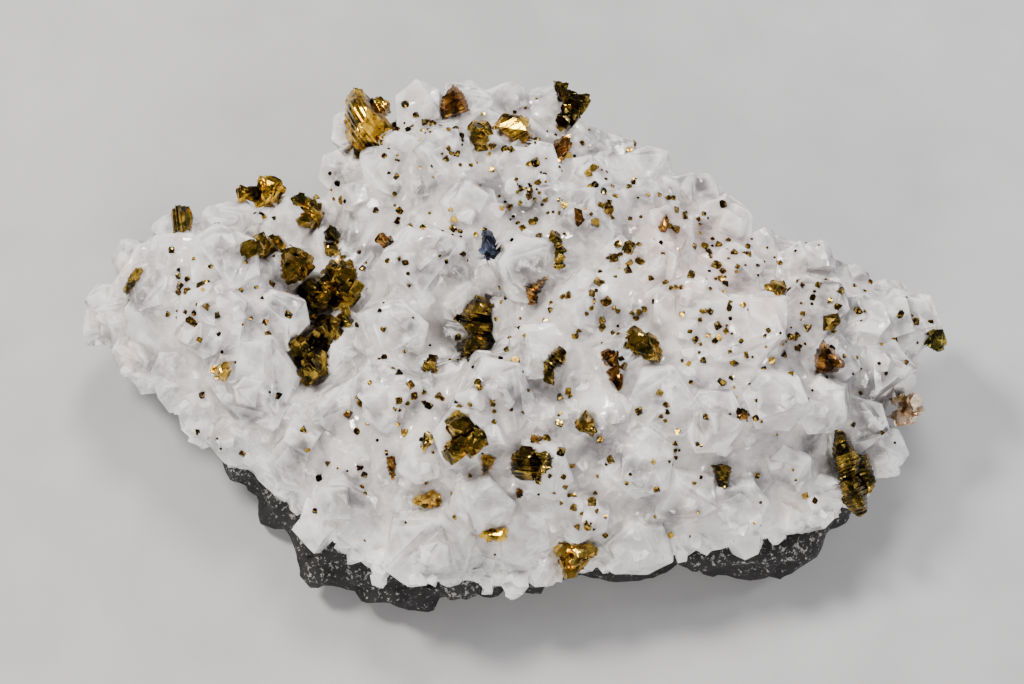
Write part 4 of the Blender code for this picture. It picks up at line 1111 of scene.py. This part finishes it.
# Scattered chalcopyrite: most of its crystals 0.6 to 1.8 mm, set on the calcite by Geometry Nodes.
sprinkle = {
    "sizes": (0.60, 1.8),  # mm
    "seed": 12,
    "everywhere": 0.45,  # crystals per cm2
    "plenty": 3.3,
    # more of them round a pixel: pixel, reach in pixels, crystals per cm2
    "fields": [
        ((500, 185), 55, 3.6), ((440, 170), 50, 1.8), ((560, 165), 45, 2.6), ((650, 200), 45, 1.6),
        ((760, 280), 55, 2.6), ((800, 330), 60, 2.4), ((700, 390), 60, 1.6), ((880, 330), 45, 2.4),
        ((240, 310), 60, 0.9), ((330, 450), 35, 2.4), ((400, 225), 45, 1.4), ((520, 330), 55, 1.4),
        ((640, 440), 60, 1.2), ((460, 290), 40, 1.2), ((740, 350), 50, 1.8), ((370, 320), 40, 0.9),
        ((550, 400), 50, 1.0), ((420, 120), 40, 1.2), ((600, 150), 35, 1.4), ((215, 285), 50, 1.3),
        ((170, 330), 30, 0.9), ((255, 330), 30, 0.8),
        ((400, 140), 40, 1.6), ((390, 115), 25, 1.2), ((380, 440), 35, 1.0), ((600, 500), 35, 1.2),
    ],
    "clump": (0.45, 9 * mm),
    # the larger ones, one by one: pixel and size in mm
    "placed": [
        (538, 182, 1.5), (590, 186, 1.1), (612, 186, 1.1), (634, 181, 1.6), (629, 187, 1.2), (615, 196, 1.3),
        (648, 195, 0.9), (659, 195, 1.1), (668, 198, 1.3), (673, 198, 1.2), (565, 206, 1.7), (607, 209, 2.4),
        (548, 213, 0.9), (560, 213, 0.9), (591, 214, 0.9), (595, 223, 2.0), (612, 218, 1.1), (533, 222, 1.7),
        (536, 220, 1.2), (523, 229, 1.7), (630, 219, 1.0), (641, 217, 0.9), (676, 210, 1.4), (685, 217, 1.5),
        (698, 219, 1.1), (675, 229, 1.8), (670, 226, 1.3), (618, 245, 1.7), (629, 248, 2.5), (613, 258, 1.9),
        (620, 254, 1.1), (608, 258, 1.1), (639, 245, 1.1), (629, 263, 1.4), (640, 261, 1.8), (663, 254, 1.0),
        (694, 246, 1.4), (712, 239, 1.1), (718, 245, 1.8), (748, 247, 1.4), (744, 253, 0.9), (716, 266, 2.0),
        (723, 272, 1.4), (691, 275, 1.7), (651, 278, 1.2), (666, 283, 1.3), (671, 288, 1.0), (675, 287, 1.1),
        (681, 287, 1.0), (600, 272, 1.0), (597, 282, 2.0), (602, 282, 1.1), (591, 294, 1.5), (596, 290, 0.9),
        (594, 301, 1.1), (563, 297, 1.2), (569, 296, 1.6), (551, 303, 1.1), (606, 301, 2.1), (614, 308, 1.0),
        (591, 308, 1.0), (618, 311, 1.0), (632, 313, 1.1), (639, 312, 1.3), (644, 309, 1.3), (636, 318, 1.2),
        (586, 314, 1.0), (602, 320, 1.6), (602, 328, 1.5), (613, 333, 1.1), (579, 331, 1.1), (575, 336, 1.3),
        (730, 302, 1.0), (729, 307, 1.5), (743, 305, 1.3), (702, 311, 1.1), (706, 311, 1.0), (682, 314, 1.2),
        (700, 320, 1.1), (690, 331, 1.1), (708, 335, 1.1), (726, 331, 1.4), (717, 328, 0.9), (423, 393, 1.2),
        (439, 396, 1.6), (443, 399, 1.0), (424, 402, 1.1), (407, 403, 1.1), (395, 409, 1.0), (400, 410, 0.8),
        (398, 424, 1.1), (405, 432, 1.7), (459, 407, 1.2), (470, 404, 1.1), (478, 383, 1.5), (480, 387, 1.3),
        (492, 400, 1.3), (493, 405, 1.0), (494, 411, 0.9), (494, 422, 1.0), (528, 390, 0.9), (511, 409, 0.9),
        (570, 396, 1.0), (561, 413, 0.8), (600, 439, 1.2), (470, 476, 1.0), (452, 494, 0.9), (455, 517, 1.0),
        (426, 482, 1.0), (550, 476, 1.0), (563, 477, 1.2), (570, 466, 1.0), (573, 466, 0.9), (565, 487, 1.2),
        (554, 493, 0.9), (570, 495, 1.2), (575, 495, 1.2), (561, 503, 1.0), (574, 507, 1.7), (582, 513, 1.0),
        (586, 523, 1.1), (577, 527, 1.3), (592, 502, 1.8), (595, 493, 1.0), (597, 511, 1.0), (611, 460, 1.6),
        (605, 535, 1.2),
    ],
}


def grainShapes(collection):  # stubby disphenoids, 1 m across, scaled down where they are set
    draw = random.Random(sprinkle["seed"])
    for number in range(4):
        body = bmesh.new()
        bmesh.ops.create_cube(body, size=1.2)
        for corner in ((1, 1, 1), (-1, -1, 1), (-1, 1, -1), (1, -1, -1)):
            out = (Vector(corner) + Vector([draw.uniform(-0.3, 0.3) for _ in range(3)])).normalized()
            cut(body, out * draw.uniform(0.30, 0.42), out)
            cut(body, -out * draw.uniform(0.42, 0.56), -out)
        meshObject(f"grain{number}", body, collection)


def sprinkleTree(material):
    tree = bpy.data.node_groups.new("sprinkleCrystals", "GeometryNodeTree")
    for name, kind in (("Geometry", "Geometry"), ("Shapes", "Collection"), ("Placed", "Object"),
                       ("Smallest", "Float"), ("Largest", "Float"), ("Seed", "Int")):
        tree.interface.new_socket(name, in_out="INPUT", socket_type="NodeSocket" + kind)
    tree.interface.new_socket("Geometry", in_out="OUTPUT", socket_type="NodeSocketGeometry")
    given = addNode(tree, "NodeGroupInput").outputs
    density = addNode(tree, "GeometryNodeInputNamedAttribute", {"data_type": "FLOAT", "Name": "sprinkle"})
    spots = addNode(tree, "GeometryNodeDistributePointsOnFaces", {"distribute_method": "RANDOM"},
                    {"Mesh": given["Geometry"], "Density": density.outputs["Attribute"], "Seed": given["Seed"]})
    chance = addNode(tree, "FunctionNodeRandomValue", {"data_type": "FLOAT"}, {"Seed": given["Seed"]})
    skewed = addNode(tree, "ShaderNodeMath", {"operation": "POWER", 1: 1.8}, {0: chance.outputs[1]})
    sizes = addNode(tree, "ShaderNodeMapRange", links={"Value": skewed.outputs["Value"], "To Min": given["Smallest"],
                                                       "To Max": given["Largest"]})
    placed = addNode(tree, "GeometryNodeObjectInfo", links={"Object": given["Placed"]})
    placedSize = addNode(tree, "GeometryNodeInputNamedAttribute", {"data_type": "FLOAT", "Name": "size"})
    shapes = addNode(tree, "GeometryNodeCollectionInfo", {"Separate Children": True, "Reset Children": True},
                     {"Collection": given["Shapes"]})
    turn = addNode(tree, "FunctionNodeRandomValue", {"data_type": "FLOAT_VECTOR", 1: (math.tau,) * 3})
    which = addNode(tree, "FunctionNodeRandomValue", {"data_type": "INT", 4: 0, 5: 3})
    join = addNode(tree, "GeometryNodeJoinGeometry")
    for points, size in ((spots.outputs["Points"], sizes.outputs["Result"]),
                         (placed.outputs["Geometry"], placedSize.outputs["Attribute"])):
        grains = addNode(tree, "GeometryNodeInstanceOnPoints", {"Pick Instance": True},
                         {"Points": points, "Instance": shapes.outputs["Instances"], "Scale": size,
                          "Instance Index": which.outputs[2], "Rotation": turn.outputs[0]})
        tree.links.new(grains.outputs["Instances"], join.inputs["Geometry"])
    random01 = addNode(tree, "FunctionNodeRandomValue", {"data_type": "FLOAT"})
    toned = addNode(tree, "GeometryNodeStoreNamedAttribute", {"data_type": "FLOAT", "domain": "INSTANCE", "Name": "tone"},
                    {"Geometry": join.outputs["Geometry"], "Value": random01.outputs[1]})
    real = addNode(tree, "GeometryNodeRealizeInstances", links={"Geometry": toned.outputs["Geometry"]})
    finished = addNode(tree, "GeometryNodeSetMaterial", {"Material": material}, {"Geometry": real.outputs["Geometry"]})
    addNode(tree, "NodeGroupOutput", links={"Geometry": finished.outputs["Geometry"]})
    return tree


def grainMaterial():
    # Chalcopyrite grains: small stubby crystals, most dulled to olive, some with a bright brass face painted on as a
    # highlight.
    made = newMaterial("chalcopyriteGrains")
    tree = made.node_tree
    place = addNode(tree, "ShaderNodeTexCoord").outputs["Object"]
    chance = addNode(tree, "ShaderNodeAttribute", {"attribute_name": "tone"})
    film = addNode(tree, "ShaderNodeTexNoise", {"Scale": 1 / (0.7 * mm), "Detail": 3}, {"Vector": place})
    tone = addNode(tree, "ShaderNodeValToRGB",
                   {"stops": [(0.0, linear("#1b180d")), (0.4, linear("#352d15")), (0.65, linear("#452f15")),
                              (0.88, linear("#6b5521")), (1.0, linear("#d2ac48"))]},
                   {"Fac": chance.outputs["Fac"]})
    # painted highlight: a face or two of each grain turned to bright brass, standing in for glints
    faces = addNode(tree, "ShaderNodeTexVoronoi", {"Scale": 1 / (0.5 * mm)}, {"Vector": place})
    own = addNode(tree, "ShaderNodeSeparateColor", links={"Color": faces.outputs["Color"]})
    glintPatch = addNode(tree, "ShaderNodeMapRange", {"From Min": 0.76, "From Max": 0.80, "To Min": 0.0, "To Max": 0.85},
                    {"Value": own.outputs["Red"]})
    metal = addNode(tree, "ShaderNodeMix", {"data_type": "RGBA", 7: linear("#dcb44a")},
                    {0: glintPatch.outputs["Result"], 6: tone.outputs["Color"]})
    rough = addNode(tree, "ShaderNodeMapRange", {"From Min": 0.3, "From Max": 0.7, "To Min": 0.12, "To Max": 0.34},
                    {"Value": film.outputs["Fac"]})
    shader = addNode(tree, "ShaderNodeBsdfPrincipled", {"Metallic": 1.0},
                     {"Base Color": metal.outputs[2], "Roughness": rough.outputs["Result"]})
    addNode(tree, "ShaderNodeOutputMaterial", links={"Surface": shader.outputs["BSDF"]})
    return made


def sprinkleDensity(place, normal):  # crystals per square metre
    pixel = seenPixel(place)
    density = sprinkle["everywhere"]
    for centre, reach, more in sprinkle["fields"]:
        density += more * math.exp(-((pixel - Vector(centre)).length / reach) ** 2)
    share, length = sprinkle["clump"]
    clump = max(0.0, 1 - share + 2.4 * share * noise.noise(place / length))
    return density * clump * sprinkle["plenty"] * 10000 * smoothStep(-0.1, 0.4, normal.z) * smoothStep(14 * mm, 24 * mm, place.z)


def makeSprinkle(skin):
    paintPoints(skin, "sprinkle", sprinkleDensity)
    tree = treeOf([skin.data])
    body = bmesh.new()
    size = body.verts.layers.float.new("size")
    for px, py, width in sprinkle["placed"]:
        hit = tree.ray_cast(eye, sightLine((px, py)))[0]
        if hit:
            body.verts.new(hit)[size] = width * mm
    spots = bpy.data.meshes.new("placedSpots")
    body.to_mesh(spots)
    body.free()
    placed = bpy.data.objects.new("placedSpots", spots)
    workshop.objects.link(placed)
    shapes = gather("grainShapes")
    grainShapes(shapes)
    piece = bpy.data.objects.new("chalcopyriteGrains", skin.data.copy())
    specimen.objects.link(piece)
    piece.data.materials.clear()
    modifier = piece.modifiers.new("sprinkle", "NODES")
    modifier.node_group = sprinkleTree(grainMaterial())
    values = {"Shapes": shapes, "Placed": placed, "Smallest": sprinkle["sizes"][0] * mm,
              "Largest": sprinkle["sizes"][1] * mm, "Seed": sprinkle["seed"]}
    for socket in modifier.node_group.interface.items_tree:
        if socket.name in values:
            modifier[socket.identifier] = values[socket.name]
    applyModifiers(piece)
    for helper in [placed] + list(shapes.objects):
        bpy.data.objects.remove(helper)
    keepInBox(piece)
    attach(piece, "root")
    print("scattered chalcopyrite:", len(piece.data.polygons), "faces")
    return piece


# Dark matrix rock.
rockForm = {
    "back": 0.2 * mm,  # below this height the rock is left flat
    "salting": (2 * mm, 14 * mm),  # between these heights the pale grains become many
    "finestEdge": 2.2 * mm,
    "facet": 7.5 * mm,
    "facetTilt": 0.55,
    "lump": (0.8 * mm, 7 * mm),
    "pit": (0.3 * mm, 1.6 * mm),
    "smoothing": (3, 1),  # rounds before and after the roughening, which take the points off the outline
    "sharpDegrees": 28,
}


def rockHeight(place):
    facet = rockForm["facet"]
    centre = noise.voronoi(place / facet)[1][0]
    tilt = noise.noise_vector(centre * 4.3).normalized()
    height = (place / facet - centre).dot(tilt) * facet * rockForm["facetTilt"]
    for amount, length in (rockForm["lump"], rockForm["pit"]):
        height += noise.noise(place / length) * amount
    return height


def rockMaterial():
    # Dark carbonate rock, broken: near black and dull, salted with pale calcite grains.
    made = newMaterial("matrixRockBroken")
    tree = made.node_tree
    place = addNode(tree, "ShaderNodeTexCoord").outputs["Object"]
    body = addNode(tree, "ShaderNodeTexNoise", {"Scale": 1 / (5 * mm), "Detail": 6, "Roughness": 0.7}, {"Vector": place})
    salt = addNode(tree, "ShaderNodeTexNoise", {"Scale": 1 / (0.9 * mm), "Detail": 4, "Roughness": 0.7}, {"Vector": place})
    base = addNode(tree, "ShaderNodeValToRGB",
                   {"stops": [(0.35, linear("#0e0e10")), (0.6, linear("#232224")), (0.75, linear("#3c3a39"))]},
                   {"Fac": body.outputs["Fac"]})
    near = addNode(tree, "ShaderNodeAttribute", {"attribute_name": "salt"})
    salted = addNode(tree, "ShaderNodeMath", {"operation": "MULTIPLY_ADD", 1: 0.08},
                     {0: near.outputs["Fac"], 2: salt.outputs["Fac"]})
    mask = addNode(tree, "ShaderNodeValToRGB", {"stops": [(0.62, 0.0), (0.70, 1.0)]}, {"Fac": salted.outputs["Value"]})
    tone = addNode(tree, "ShaderNodeMix", {"data_type": "RGBA", 7: linear("#a3a2a0")},
                   {0: mask.outputs["Color"], 6: base.outputs["Color"]})
    bump = addNode(tree, "ShaderNodeBump", {"Strength": 0.7, "Distance": 0.5 * mm}, {"Height": salt.outputs["Fac"]})
    shader = addNode(tree, "ShaderNodeBsdfPrincipled", {"Roughness": 0.72},
                     {"Base Color": tone.outputs[2], "Normal": bump.outputs["Normal"]})
    addNode(tree, "ShaderNodeOutputMaterial", links={"Surface": shader.outputs["BSDF"]})
    return made


def makeRock():
    piece = copyNode("matrix", specimen)
    piece.name = "matrixRock"
    before, after = rockForm["smoothing"]
    body = bmesh.new()
    body.from_mesh(piece.data)
    splitLongEdges(body, rockForm["finestEdge"])
    level = [vertex for vertex in body.verts if vertex.co.z < rockForm["back"]]
    raised = [vertex for vertex in body.verts if vertex.co.z >= rockForm["back"]]

    def smooth(rounds):
        for _ in range(rounds):
            bmesh.ops.smooth_vert(body, verts=raised, factor=0.5, use_axis_x=True, use_axis_y=True, use_axis_z=True)
            bmesh.ops.smooth_vert(body, verts=level, factor=0.5, use_axis_x=True, use_axis_y=True)

    smooth(before)
    body.normal_update()
    for vertex, move in [(vertex, vertex.normal * rockHeight(vertex.co)) for vertex in raised]:
        vertex.co += move
    smooth(after)
    body.to_mesh(piece.data)
    body.free()
    paintPoints(piece, "salt", lambda place, normal: smoothStep(*rockForm["salting"], place.z))
    keepInBox(piece)
    shade(piece, rockForm["sharpDegrees"])
    piece.data.materials.clear()
    piece.data.materials.append(rockMaterial())
    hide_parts("matrix")
    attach(piece, "root")
    print("rock:", len(piece.data.polygons), "faces")


makeStudio()
calcite = makeCalcite()
calcite.data.materials.clear()
calcite.data.materials.append(calciteMaterial())
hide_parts("calcite")
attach(calcite, "root")
makeSulphides()
makeSprinkle(calcite)
makeRock()
